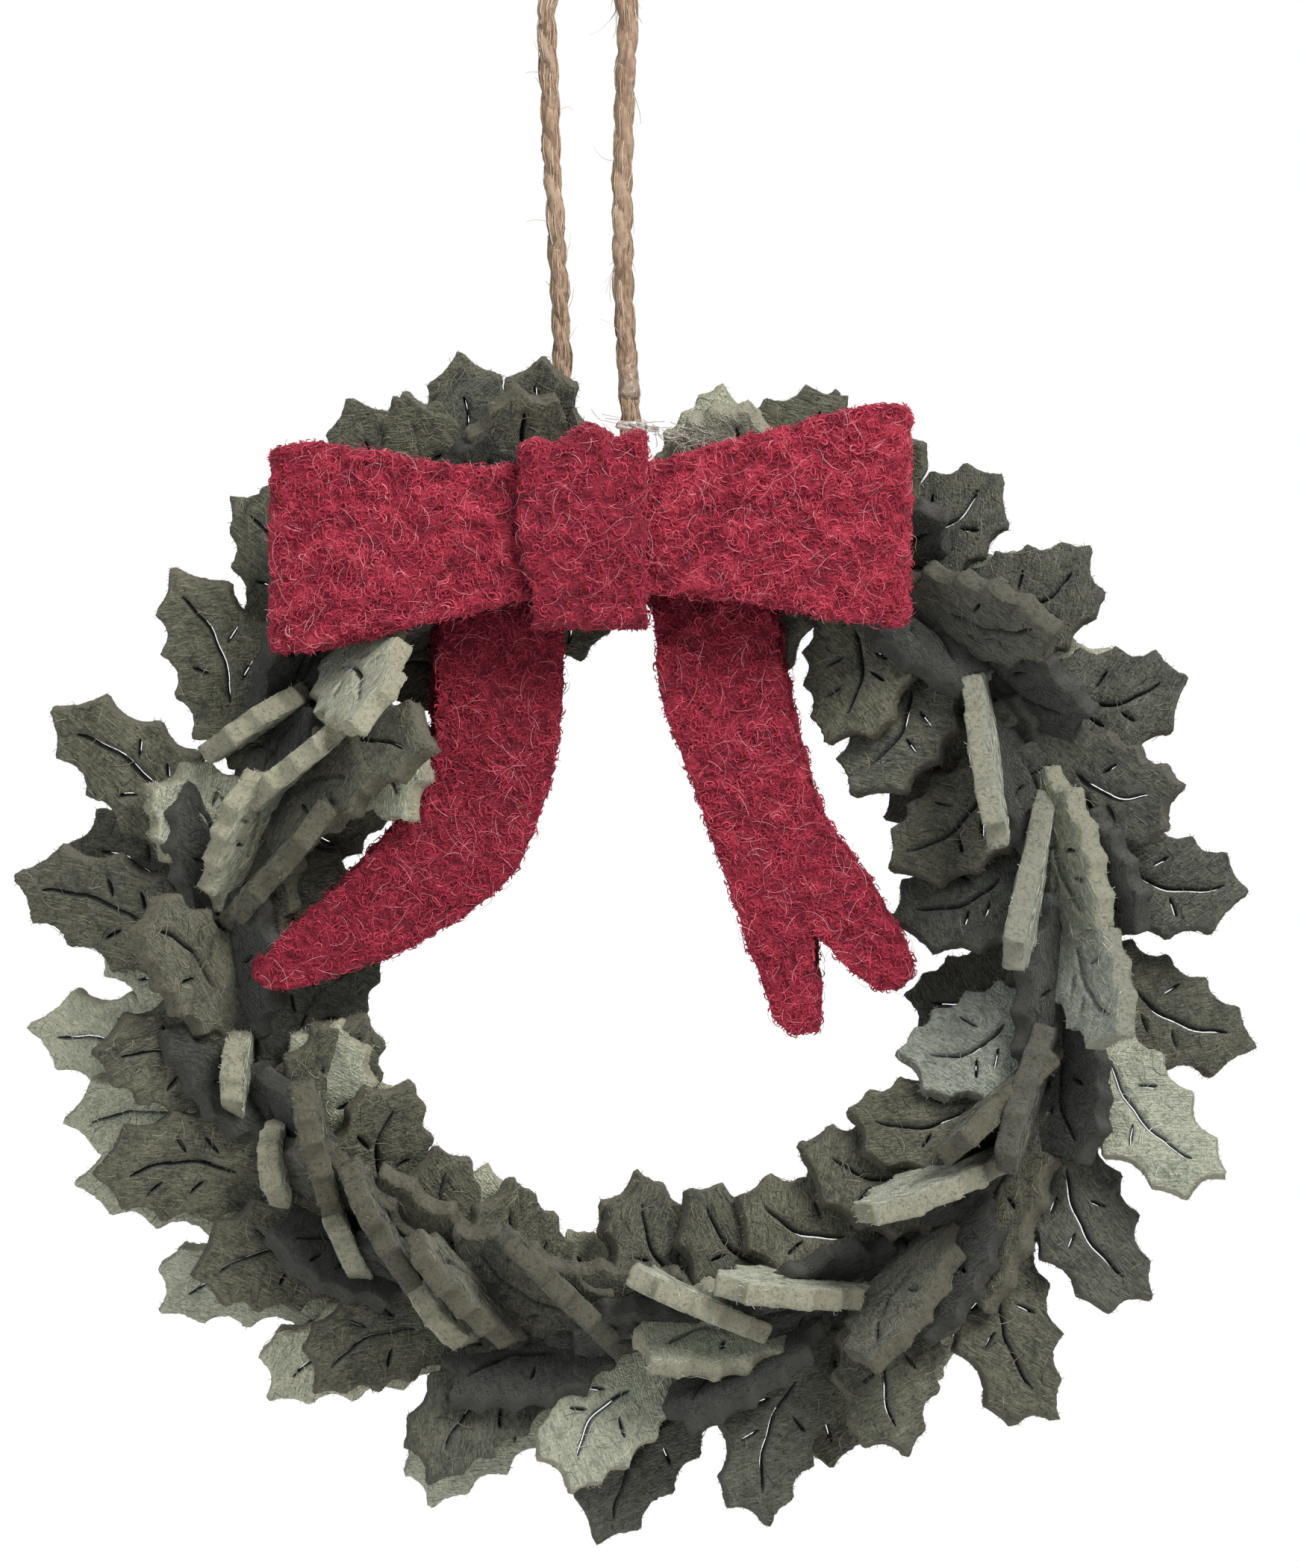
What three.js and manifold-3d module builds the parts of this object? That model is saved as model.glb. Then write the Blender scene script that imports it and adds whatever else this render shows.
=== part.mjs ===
// A hanging wreath ornament: double holly leaves of felt round a wire ring, a plush bow and a twine loop.
// Millimetres, +Z up. The front faces -Y. The origin is the top of the twine loop, where a hook holds it.
import * as THREE from 'three';
import { mergeVertices } from 'three/addons/utils/BufferGeometryUtils.js';
import Module from 'manifold-3d';

const wasm = await Module();
wasm.setup();

// Fits
const clearance = 0.3; // between pieces that touch on the real ornament

// Wire ring
const ringRadius = 46.5;
const ringDrop = 108; // from the hook down to the ring's centre
const ringOffset = 6.7; // the ring's centre hangs right of the hook
const ringTopDrop = ringDrop - ringRadius; // from the hook to the wire under it
const wireDiameter = 1.6;
const wireSides = 6;
const wireSteps = 72;

// Felt leaves
const feltThickness = 2.4;
const leafLength = 25; // from the wire to the tip
const leafWidth = 12.6; // across the widest spines
const neckWidth = 3.2;
const hubLength = 3.4; // along the wire, where a double leaf is folded round it
const hubWall = 1.7;
const hubSides = 6;
const neckStart = wireDiameter / 2 + clearance + hubWall / 3; // the neck begins inside the hub's wall
const tipOffset = 0.9; // how far the tip leans sideways

// One edge of a leaf from the neck to the last hollow: share of the length, share of the half width.
// Spines and hollows take turns.
const leafEdgeShares = [
  [0.27, 0.55],
  [0.35, 0.5],
  [0.45, 0.9],
  [0.54, 0.68],
  [0.65, 1],
  [0.73, 0.64],
  [0.84, 0.8],
  [0.92, 0.36],
];
const neckEndShare = 0.16;

// Twine loop
const twineDiameter = 2.1;
const twineSides = 8;
const twineSteps = 78;

// Bow: its centre, measured sideways from the hook and down from the ring's top
const bowOffset = -0.5;
const bowSinkDepth = 2.2;
const plushThickness = 2.4;
const bandWidth = 15.4;
const bandHeight = 23;
const bandBackWall = 1.6;
const bandFrontWall = 2.8;
const bandCorner = 2.6;
const bandCornerSteps = 3;
const loopInnerHeight = 14.8; // inside the band
const loopInnerDrop = 0.7; // below the bow's centre
const loopEndGap = 2.6; // between the two layers of a loop at its outer fold
const loopFoldSteps = 8;
const loopLayerSteps = 6;
const leftLoopLength = 34.5; // from the bow's centre to the outer fold
const leftLoopHeight = 23.7; // at the outer fold
const leftLoopOffset = -2.3; // up from the bow's centre, at the outer fold
const rightLoopLength = 36.3;
const rightLoopHeight = 25;
const rightLoopOffset = 1.4;
const bowLoops = [
  { side: 'left', reach: leftLoopLength, outerHeight: leftLoopHeight, outerLift: leftLoopOffset },
  { side: 'right', reach: rightLoopLength, outerHeight: rightLoopHeight, outerLift: rightLoopOffset },
];

// Bow tails, each of two plies. Their tops are hidden behind the band.
const tailThickness = 2.1;
const tailLeanDepth = 2.4; // how far the lower end stands further to the front
const plyOffset = 0.8; // the back ply shows beside the front one
const leftTailOffset = -2.6; // the inner top corner, sideways from the hook
const leftTailDepth = 0.9; // the top, down from the ring's top
const leftTailWidth = 33.9; // over all, as the tail curves outward
const leftTailLength = 52;
const rightTailOffset = 0.6;
const rightTailDepth = 4.7;
const rightTailWidth = 35;
const rightTailLength = 53.2;

// A tail's outline, from its inner top corner round to its outer one:
// share of the reach sideways, share of the length downwards.
const bowTails = [
  {
    side: 'left',
    aside: leftTailOffset,
    sink: leftTailDepth,
    reach: leftTailWidth,
    length: leftTailLength,
    outlineShares: [
      [0, 0], [0.005, 0.22], [0.01, 0.4], [0.04, 0.55], [0.14, 0.73], [0.26, 0.81], [0.39, 0.87],
      [0.56, 0.93], [0.9, 1], [0.98, 0.99], [1, 0.975], [0.99, 0.95], [0.755, 0.81], [0.52, 0.65],
      [0.44, 0.55], [0.41, 0.49], [0.4, 0.22], [0.22, 0],
    ],
  },
  {
    side: 'right',
    aside: rightTailOffset,
    sink: rightTailDepth,
    reach: rightTailWidth,
    length: rightTailLength,
    outlineShares: [
      [0, 0], [0.2, 0.12], [0.215, 0.29], [0.39, 0.61], [0.51, 0.84], [0.58, 0.97], [0.63, 1], [0.69, 1],
      [0.7, 0.94], [0.68, 0.77], [0.82, 0.87], [0.92, 0.91], [0.96, 0.91], [1, 0.86], [0.87, 0.7],
      [0.7, 0.545], [0.62, 0.36], [0.58, 0.2], [0.56, 0.12], [0.33, 0],
    ],
  },
];

// Glue: a dab between the wire and the left tail, and a cone on the cord
const glueDabGap = 0.4; // along the wire, to the first leaf's sleeve
const glueDabSinkDepth = 1.6; // below the wire there
const glueDabWidth = 3;
const glueDabHeight = 5.4;
const glueDabDepth = 1.7;
const glueDabSides = 10;
const dabProfileShares = [[0, 0], [0.8, 0], [1, 0.5], [0.8, 1], [0, 1]]; // share of the radius, of the depth
const glueConeTop = 3.6; // diameter where the cone thins out on the cord
const glueConeBase = 5.4;
const glueConeLength = 4.6;
const glueConeSides = 10;
const glueConeShare = 0.83; // of the cord's length, to the cone's middle

// How far in front of the wire's axis each layer of the bow begins
const backPlyDepth = wireDiameter / 2 + clearance + glueDabDepth + clearance;
const frontPlyDepth = backPlyDepth + tailThickness + clearance;
const bandBottom = bowSinkDepth + bandHeight / 2; // below the ring's top
const leansInBand = bowTails.map(({ sink, length }) => (tailLeanDepth * (bandBottom - sink)) / length);
const bandBackDepth = frontPlyDepth + tailThickness + Math.max(...leansInBand) + clearance;
const loopFoldDepth = bandBackDepth + bandBackWall + clearance + plushThickness + clearance / 2;
const bandFrontDepth = loopFoldDepth + clearance / 2 + plushThickness + clearance + bandFrontWall;

const colours = {
  dark: { color: 0x565a4d, roughness: 0.95, metalness: 0 },
  pale: { color: 0xb2baaa, roughness: 0.95, metalness: 0 },
  plush: { color: 0xac263c, roughness: 0.9, metalness: 0 },
  jute: { color: 0xb89671, roughness: 0.85, metalness: 0 },
  wire: { color: 0x8d8f90, roughness: 0.4, metalness: 0.9 },
  glue: { color: 0xe4e2dc, roughness: 0.2, metalness: 0 },
};

// Each double leaf: its place on the ring in degrees, its felt, and its two leaves.
// A leaf is [roll, sweep, share of the leaf length, lean], the angles in degrees.
// Roll 0 points outward, 90 to the front, 180 inward and 270 to the back. Sweep turns it clockwise along
// the ring, as seen from the front. Lean turns the swept side towards the next roll.
const sprigs = [
  [107, 'dark', [16, 24, 0.8, 10], [203, 8, 0.66, -20]],
  [114, 'dark', [-16, 20, 0.9, 10], [262, 28, 0.8, 20]],
  [121, 'dark', [10, 24, 0.82, 10], [195, 22, 0.72, -21]],
  [128, 'dark', [-22, 28, 0.96, 12], [258, 28, 0.84, 20]],
  [136, 'dark', [12, 26, 0.76, 12], [191, 28, 0.8, -22]],
  [143, 'dark', [-25, 34, 0.94, 10], [262, 30, 0.84, 20]],
  [150, 'pale', [146, -2, 0.86, -10], [284, 30, 0.84, 14]],
  [157, 'dark', [2, 46, 1, 14], [206, 28, 0.8, -8]],
  [164, 'pale', [88, 40, 0.9, 34], [268, 30, 0.9, 20]],
  [171, 'dark', [-6, 34, 1.08, 14], [192, 38, 0.78, -12]],
  [178, 'dark', [98, 42, 0.96, 38], [262, 32, 0.9, 20]],
  [185, 'dark', [-12, 30, 1.06, 14], [186, 36, 0.72, -13]],
  [193, 'dark', [50, 46, 0.86, 10], [254, 32, 0.84, 16]],
  [201, 'dark', [16, 32, 0.8, 14], [187, 34, 0.8, -24]],
  [208, 'pale', [-24, 30, 1.02, 10], [228, 36, 0.84, -4]],
  [215, 'dark', [3, 36, 0.96, 14], [180, 40, 0.78, -26]],
  [222, 'dark', [87, 38, 0.92, 30], [262, 30, 0.88, 20]],
  [229, 'dark', [10, 42, 0.86, 14], [179, 40, 0.78, -25]],
  [236, 'dark', [86, 38, 0.9, 30], [258, 32, 0.88, 20]],
  [244, 'dark', [10, 42, 0.8, 14], [182, 42, 0.74, -25]],
  [251, 'dark', [78, 42, 0.96, 36], [256, 32, 0.88, 20]],
  [258, 'dark', [6, 38, 0.9, 14], [181, 42, 0.78, -25]],
  [265, 'dark', [96, 42, 0.98, 38], [268, 32, 0.9, 20]],
  [272, 'pale', [14, 42, 0.8, 12], [230, 32, 0.84, 8]],
  [279, 'dark', [-20, 42, 1.08, 10], [182, 24, 0.8, -24]],
  [286, 'pale', [90, 42, 0.92, 40], [256, 32, 0.9, 20]],
  [293, 'dark', [-2, 42, 0.98, 14], [182, 28, 0.8, -24]],
  [300, 'pale', [84, 42, 0.96, 40], [256, 30, 0.9, 20]],
  [307, 'dark', [10, 42, 0.9, 14], [181, 36, 0.8, -25]],
  [314, 'dark', [66, 46, 0.94, 6], [260, 30, 0.9, 20]],
  [321, 'dark', [-8, 38, 1.1, 14], [182, 32, 0.8, -24]],
  [328, 'pale', [80, 46, 1.08, 42], [258, 32, 0.9, 20]],
  [335, 'dark', [-6, 40, 1.04, 14], [182, 38, 0.82, -25]],
  [342, 'dark', [89, 40, 0.94, 32], [270, 32, 0.92, 20]],
  [349, 'pale', [8, 40, 1.08, 14], [182, 38, 0.76, -24]],
  [356, 'dark', [-18, 22, 1, 10], [214, 24, 0.8, -6]],
  [3, 'pale', [62, 44, 0.9, 10], [262, 32, 0.88, 20]],
  [10, 'dark', [-4, 24, 0.86, 14], [180, 14, 0.8, -24]],
  [17, 'pale', [96, 42, 1, 26], [262, 32, 0.9, 20]],
  [24, 'dark', [26, 40, 0.76, 10], [180, 18, 0.8, -26]],
  [31, 'dark', [-10, 22, 0.84, 10], [212, 16, 0.8, -6]],
  [38, 'pale', [98, 42, 1.06, 26], [260, 32, 0.9, 20]],
  [45, 'dark', [-4, 24, 0.76, 14], [180, 20, 0.84, -24]],
  [52, 'dark', [56, 46, 0.92, 8], [258, 32, 0.88, 20]],
  [59, 'dark', [-8, 28, 0.76, 14], [180, 30, 0.8, -24]],
  [67, 'dark', [14, 16, 0.7, 10], [262, 30, 0.8, 20]],
  [75, 'dark', [-21, 24, 0.74, 10], [184, 16, 0.72, -24]],
  [85, 'pale', [34, 24, 0.66, 8], [262, 30, 0.74, 20]],
];

const toRadians = THREE.MathUtils.degToRad;

// Makes a closed solid of a geometry, with equal vertices joined.
function solid(geometry) {
  geometry.deleteAttribute('normal');
  geometry.deleteAttribute('uv');
  const merged = mergeVertices(geometry, 1e-4);
  return new wasm.Manifold(
    new wasm.Mesh({
      numProp: 3,
      vertProperties: new Float32Array(merged.attributes.position.array),
      triVerts: new Uint32Array(merged.index.array),
    }),
  );
}

function geometryOf(made) {
  const mesh = made.getMesh();
  const geometry = new THREE.BufferGeometry();
  geometry.setAttribute('position', new THREE.BufferAttribute(mesh.vertProperties, mesh.numProp));
  geometry.setIndex(new THREE.BufferAttribute(mesh.triVerts, 1));
  geometry.computeVertexNormals();
  return geometry;
}

function named(name, geometry, colour) {
  const mesh = new THREE.Mesh(geometry, new THREE.MeshStandardMaterial(colours[colour]));
  mesh.name = name;
  return mesh;
}

// Joins a row of sections with as many corners each into one closed solid, flat at both ends.
function stripGeometry(sections) {
  const corners = sections[0].length;
  const index = [];
  for (let i = 0; i + 1 < sections.length; i++) {
    for (let k = 0; k < corners; k++) {
      const a = i * corners + k;
      const b = i * corners + ((k + 1) % corners);
      index.push(a, b, b + corners, a, b + corners, a + corners);
    }
  }
  const last = (sections.length - 1) * corners;
  for (let k = 1; k + 1 < corners; k++) {
    index.push(0, k + 1, k, last, last + k, last + k + 1);
  }
  const geometry = new THREE.BufferGeometry();
  const places = sections.flat().flatMap((p) => p.toArray());
  geometry.setAttribute('position', new THREE.Float32BufferAttribute(places, 3));
  geometry.setIndex(index);
  geometry.computeVertexNormals();
  return geometry;
}

const ringCentre = new THREE.Vector3(ringOffset, 0, -ringDrop);

function wireRing() {
  const ring = new THREE.TorusGeometry(ringRadius, wireDiameter / 2, wireSides, wireSteps);
  ring.rotateX(Math.PI / 2);
  ring.translate(ringCentre.x, ringCentre.y, ringCentre.z);
  return named('ring_wire', ring, 'wire');
}

// The flat outline of one leaf, with its neck on the origin and its tip up the page.
// The end of the neck lies along the wire, which crosses the leaf at the angle of its sweep.
function leafShape(length, sweep) {
  const half = leafWidth / 2;
  const curl = (share) => tipOffset * share * share;
  const reach = neckWidth / 2;
  const side = (sign) => [
    [sign * reach * Math.cos(sweep), sign * reach * Math.sin(sweep)],
    [sign * neckWidth / 2, neckEndShare * length],
    ...leafEdgeShares.map(([along, across]) => [sign * across * half + curl(along), along * length]),
  ];
  const points = [...side(1), [curl(1), length], ...side(-1).reverse()];
  return new THREE.Shape(points.map(([x, y]) => new THREE.Vector2(x, y)));
}

// The directions at a place on the ring: outward, clockwise along the wire, and to the front.
function ringDirections(station) {
  const angle = toRadians(station);
  return {
    outward: new THREE.Vector3(Math.cos(angle), 0, Math.sin(angle)),
    along: new THREE.Vector3(Math.sin(angle), 0, -Math.cos(angle)),
    front: new THREE.Vector3(0, -1, 0),
  };
}

function leafBlade({ outward, along, front }, [roll, sweep, lengthShare, lean]) {
  const away = outward.clone().multiplyScalar(Math.cos(toRadians(roll)));
  away.addScaledVector(front, Math.sin(toRadians(roll)));
  const turned = along.clone().multiplyScalar(Math.cos(toRadians(lean)));
  turned.addScaledVector(along.clone().cross(away), Math.sin(toRadians(lean)));
  const tipward = away.clone().multiplyScalar(Math.cos(toRadians(sweep)));
  tipward.addScaledVector(turned, Math.sin(toRadians(sweep)));
  const sideways = turned.clone().multiplyScalar(Math.cos(toRadians(sweep)));
  sideways.addScaledVector(away, -Math.sin(toRadians(sweep)));
  const length = leafLength * lengthShare - neckStart;
  const outline = leafShape(length, toRadians(sweep));
  const blade = new THREE.ExtrudeGeometry(outline, { depth: feltThickness, bevelEnabled: false });
  blade.translate(0, 0, -feltThickness / 2);
  blade.applyMatrix4(
    new THREE.Matrix4().makeBasis(sideways, tipward, sideways.clone().cross(tipward)),
  );
  blade.translate(away.x * neckStart, away.y * neckStart, away.z * neckStart);
  return blade;
}

// The folded middle of a double leaf: a short felt sleeve round the wire.
function leafHub({ outward, along }) {
  const bore = (wireDiameter / 2 + clearance) / Math.cos(Math.PI / hubSides);
  const outer = wireDiameter / 2 + clearance + hubWall;
  const end = hubLength / 2;
  const profile = [[bore, -end], [outer, -end], [outer, end], [bore, end], [bore, -end]];
  const hub = new THREE.LatheGeometry(profile.map(([x, y]) => new THREE.Vector2(x, y)), hubSides);
  hub.applyMatrix4(new THREE.Matrix4().makeBasis(outward, along, outward.clone().cross(along)));
  return hub;
}

function leafSprig([station, felt, first, second], number) {
  const directions = ringDirections(station);
  const made = solid(leafHub(directions))
    .add(solid(leafBlade(directions, first)))
    .add(solid(leafBlade(directions, second)));
  const geometry = geometryOf(made);
  const place = directions.outward.clone().multiplyScalar(ringRadius).add(ringCentre);
  const mesh = named(`leaf_sprig_${String(number + 1).padStart(2, '0')}_${felt}`, geometry, felt);
  mesh.position.copy(place);
  return mesh;
}

// The cord starts behind the wire, runs up, over the hook and down, and passes under the wire.
const twineRoute = [
  [-2.4, 2.8, -61.3],
  [-2.45, 2.7, -57],
  [-2.6, 2.4, -50],
  [-2.95, 2, -42],
  [-3.3, 1.6, -34],
  [-3.75, 1.2, -26],
  [-4.15, 0.8, -18],
  [-4.35, 0.4, -11],
  [-4.6, 0.1, -6.5],
  [-4.45, 0, -3.6],
  [-3.2, 0, -1.2],
  [-0.1, 0, 0],
  [3.1, 0, -1.2],
  [4.35, 0, -3.6],
  [4.45, -0.1, -6.5],
  [4.2, -0.3, -11],
  [4, -0.8, -18],
  [3.85, -1.2, -26],
  [3.95, -1.6, -34],
  [4.3, -2, -42],
  [4.75, -2.4, -50],
  [4.95, -2.7, -57],
  [4.95, -2.8, -59.8],
  [4.4, -2.45, -61.9],
  [2.9, -1.25, -63.9],
  [1.2, 0, -64.4],
  [-0.6, 1.25, -63.8],
];

function twinePath() {
  const top = twineDiameter / 2;
  const route = twineRoute.map(([x, y, z]) => new THREE.Vector3(x, y, z - top));
  return new THREE.CatmullRomCurve3(route, false, 'centripetal');
}

function twineLoop() {
  const section = new THREE.Shape(
    Array.from({ length: twineSides }, (_, k) => {
      const turn = (2 * Math.PI * k) / twineSides;
      return new THREE.Vector2(Math.cos(turn), Math.sin(turn)).multiplyScalar(twineDiameter / 2);
    }),
  );
  const cord = new THREE.ExtrudeGeometry(section, {
    extrudePath: twinePath(),
    steps: twineSteps,
    bevelEnabled: false,
  });
  return named('hanging_twine', cord, 'jute');
}

// A hardened cone of glue round the cord's front strand.
function glueCone() {
  const bore = (twineDiameter / 2 + clearance) / Math.cos(Math.PI / glueConeSides);
  const half = glueConeLength / 2;
  const profile = [
    [bore, -half],
    [glueConeBase / 2, -half],
    [glueConeTop / 2, half],
    [bore, half],
    [bore, -half],
  ];
  const cone = new THREE.LatheGeometry(profile.map(([x, y]) => new THREE.Vector2(x, y)), glueConeSides);
  const mesh = named('glue_cone', cone, 'glue');
  const path = twinePath();
  const upward = path.getTangentAt(glueConeShare).negate();
  mesh.quaternion.setFromUnitVectors(new THREE.Vector3(0, 1, 0), upward);
  mesh.position.copy(path.getPointAt(glueConeShare));
  return mesh;
}

// The dab of glue that holds the bow to the wire.
function glueDab() {
  const points = dabProfileShares.map(([out, deep]) => new THREE.Vector2(out, deep * glueDabDepth));
  const dab = new THREE.LatheGeometry(points, glueDabSides);
  dab.scale(glueDabWidth / 2, 1, glueDabHeight / 2);
  const mesh = named('glue_dab', dab, 'glue');
  const [firstStation] = sprigs[0];
  const alongWire = hubLength / 2 + glueDabGap + glueDabWidth / 2;
  const { outward } = ringDirections(firstStation - THREE.MathUtils.radToDeg(alongWire / ringRadius));
  mesh.position.copy(outward).multiplyScalar(ringRadius).add(ringCentre);
  mesh.position.y = clearance - backPlyDepth;
  mesh.position.z -= glueDabSinkDepth;
  return mesh;
}

// A loop of the bow: the plush runs outward in front, folds round and comes back behind.
function bowLoop({ side, reach, outerHeight, outerLift }) {
  const sign = side === 'left' ? -1 : 1;
  const innerSpread = (plushThickness + clearance) / 2;
  const outerSpread = (plushThickness + loopEndGap) / 2;
  const opens = bandWidth / 2 + clearance; // the loop starts to widen where it leaves the band
  const folds = reach - plushThickness / 2 - outerSpread;
  const widening = (across) => THREE.MathUtils.smoothstep(across, opens, folds);
  const layer = Array.from({ length: loopLayerSteps + 1 }, (_, k) =>
    THREE.MathUtils.lerp(opens, folds, k / loopLayerSteps),
  );
  const path = [clearance, ...layer].map((across) => {
    const spread = THREE.MathUtils.lerp(innerSpread, outerSpread, widening(across));
    return { across, spread, turn: Math.PI / 2 };
  });
  const fold = Array.from({ length: loopFoldSteps - 1 }, (_, k) => {
    const turn = Math.PI / 2 - (Math.PI * (k + 1)) / loopFoldSteps;
    return { across: folds, spread: outerSpread, turn };
  });
  const back = path.map((place) => ({ ...place, turn: -Math.PI / 2 })).reverse();
  const sections = [...path, ...fold, ...back].map(({ across, spread, turn }) => {
    const share = widening(across);
    const height = THREE.MathUtils.lerp(loopInnerHeight, outerHeight, share);
    const middle = THREE.MathUtils.lerp(-loopInnerDrop, outerLift, share) - bowSinkDepth - ringTopDrop;
    const corner = (away, up) => {
      const x = across + (spread + away) * Math.cos(turn);
      const depth = loopFoldDepth + (spread + away) * Math.sin(turn);
      return new THREE.Vector3(bowOffset + sign * x, -depth, middle + (up * height) / 2);
    };
    const half = plushThickness / 2;
    const corners = [corner(half, 1), corner(half, -1), corner(-half, -1), corner(-half, 1)];
    return sign > 0 ? corners : corners.reverse();
  });
  return named(`bow_loop_${side}`, stripGeometry(sections), 'plush');
}

// The band round the middle of the bow, a closed ring that both loops pass through.
function bowBand() {
  const arc = (x, y, start) =>
    Array.from({ length: bandCornerSteps + 1 }, (_, k) => {
      const turn = start + (Math.PI / 2) * (k / bandCornerSteps);
      return new THREE.Vector2(x + bandCorner * Math.cos(turn), y + bandCorner * Math.sin(turn));
    });
  const top = bandHeight / 2;
  const near = bandBackDepth + bandCorner;
  const far = bandFrontDepth - bandCorner;
  const outline = new THREE.Shape([
    ...arc(far, top - bandCorner, 0),
    ...arc(near, top - bandCorner, Math.PI / 2),
    ...arc(near, bandCorner - top, Math.PI),
    ...arc(far, bandCorner - top, 1.5 * Math.PI),
  ]);
  const room = loopInnerHeight / 2 + clearance;
  const back = bandBackDepth + bandBackWall;
  const front = bandFrontDepth - bandFrontWall;
  outline.holes.push(
    new THREE.Path([
      new THREE.Vector2(back, -loopInnerDrop - room),
      new THREE.Vector2(back, -loopInnerDrop + room),
      new THREE.Vector2(front, -loopInnerDrop + room),
      new THREE.Vector2(front, -loopInnerDrop - room),
    ]),
  );
  const band = new THREE.ExtrudeGeometry(outline, { depth: bandWidth, bevelEnabled: false });
  const toFront = new THREE.Vector3(0, -1, 0);
  const up = new THREE.Vector3(0, 0, 1);
  band.applyMatrix4(new THREE.Matrix4().makeBasis(toFront, up, toFront.clone().cross(up)));
  const mesh = named('bow_centre_band', band, 'plush');
  mesh.position.set(bowOffset + bandWidth / 2, 0, -ringTopDrop - bowSinkDepth);
  return mesh;
}

// One ply of a tail: its outline, as thick as the plush, leaning to the front as it hangs down.
function tailPly({ side, aside, sink, reach, length, outlineShares }, ply) {
  const sign = side === 'left' ? -1 : 1;
  const points = outlineShares.map(([out, down]) => new THREE.Vector2(sign * out * reach, -down * length));
  const outline = new THREE.Shape(points);
  const made = new THREE.ExtrudeGeometry(outline, { depth: tailThickness, bevelEnabled: false });
  const right = new THREE.Vector3(1, 0, 0);
  const up = new THREE.Vector3(0, 0, 1);
  made.applyMatrix4(new THREE.Matrix4().makeBasis(right, up, right.clone().cross(up)));
  const lean = new THREE.Matrix4();
  lean.set(1, 0, 0, 0, 0, 1, tailLeanDepth / length, 0, 0, 0, 1, 0, 0, 0, 0, 1);
  made.applyMatrix4(lean);
  const mesh = named(`tail_${side}_${ply}`, made, 'plush');
  const shift = ply === 'back' ? sign * plyOffset : 0;
  const depth = ply === 'back' ? backPlyDepth : frontPlyDepth;
  mesh.position.set(aside + shift, -depth, -ringTopDrop - sink);
  return mesh;
}

const group = new THREE.Group();
group.add(wireRing());
group.add(twineLoop());
group.add(glueCone());
group.add(glueDab());
bowLoops.forEach((loop) => group.add(bowLoop(loop)));
group.add(bowBand());
bowTails.forEach((tail) => group.add(tailPly(tail, 'front'), tailPly(tail, 'back')));
sprigs.forEach((row, number) => group.add(leafSprig(row, number)));

export default group;
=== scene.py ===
import math

import bpy
import numpy as np
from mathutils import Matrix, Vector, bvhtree, geometry


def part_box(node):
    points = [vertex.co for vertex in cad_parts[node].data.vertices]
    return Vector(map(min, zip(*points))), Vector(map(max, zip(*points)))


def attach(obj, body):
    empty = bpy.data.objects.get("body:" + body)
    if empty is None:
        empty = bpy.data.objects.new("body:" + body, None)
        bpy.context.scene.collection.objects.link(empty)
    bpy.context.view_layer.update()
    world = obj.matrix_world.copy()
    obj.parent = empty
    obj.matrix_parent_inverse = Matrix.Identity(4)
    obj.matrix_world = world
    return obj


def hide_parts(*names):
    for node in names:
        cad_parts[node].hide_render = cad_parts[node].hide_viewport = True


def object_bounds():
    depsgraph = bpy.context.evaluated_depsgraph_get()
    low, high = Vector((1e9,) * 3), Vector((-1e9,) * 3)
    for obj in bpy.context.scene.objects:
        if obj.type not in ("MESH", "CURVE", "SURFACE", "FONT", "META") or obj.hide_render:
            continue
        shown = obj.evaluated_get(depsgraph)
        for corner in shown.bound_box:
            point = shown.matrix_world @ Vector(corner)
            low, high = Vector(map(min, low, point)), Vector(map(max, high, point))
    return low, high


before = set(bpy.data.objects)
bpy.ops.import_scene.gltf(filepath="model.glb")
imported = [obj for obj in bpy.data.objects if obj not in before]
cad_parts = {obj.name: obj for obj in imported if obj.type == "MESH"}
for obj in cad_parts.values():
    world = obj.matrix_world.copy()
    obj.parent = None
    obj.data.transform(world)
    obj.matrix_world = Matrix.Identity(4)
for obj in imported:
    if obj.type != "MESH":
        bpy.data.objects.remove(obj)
cad_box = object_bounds()

MM = 0.001
RIGHT = np.array([1.0, 0.0, 0.0])
FRONT = np.array([0.0, -1.0, 0.0])
UP = np.array([0.0, 0.0, 1.0])


def box_mm(node):
    """The lowest and highest corners of a CAD node, in millimetres."""
    low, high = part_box(node)
    return np.array(low) / MM, np.array(high) / MM


# The wire ring, and the double leaves on it
WIRE_RADIUS = 0.8
RING_LOW, RING_HIGH = box_mm("ring_wire")
RING_CENTRE = (RING_LOW + RING_HIGH) / 2
RING_RADIUS = (RING_HIGH[0] - RING_LOW[0]) / 2 - WIRE_RADIUS
FELT_THICKNESS = 2.4
LEAF_LENGTH = 25  # from the wire to the tip
LEAF_HALF_WIDTH = 6.2  # to the widest spine
NECK_START = 1.67  # from the wire's middle
NECK_HALF_WIDTH = 2.4
SLEEVE_RADIUS = 2.8
SLEEVE_LENGTH = 3.4
SLEEVE_CHAMFER = 0.5
SLEEVE_GAP = 0.3  # between wire and sleeve
FILLER_SLEEVE_LENGTH = 2
# The sleeves round the wire are painted darker than their leaves: painted shade
SLEEVE_PAINTED_SHADE = 0.7
FIBRE_SHARE = 1  # of the fuzz, for a quicker look

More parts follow.
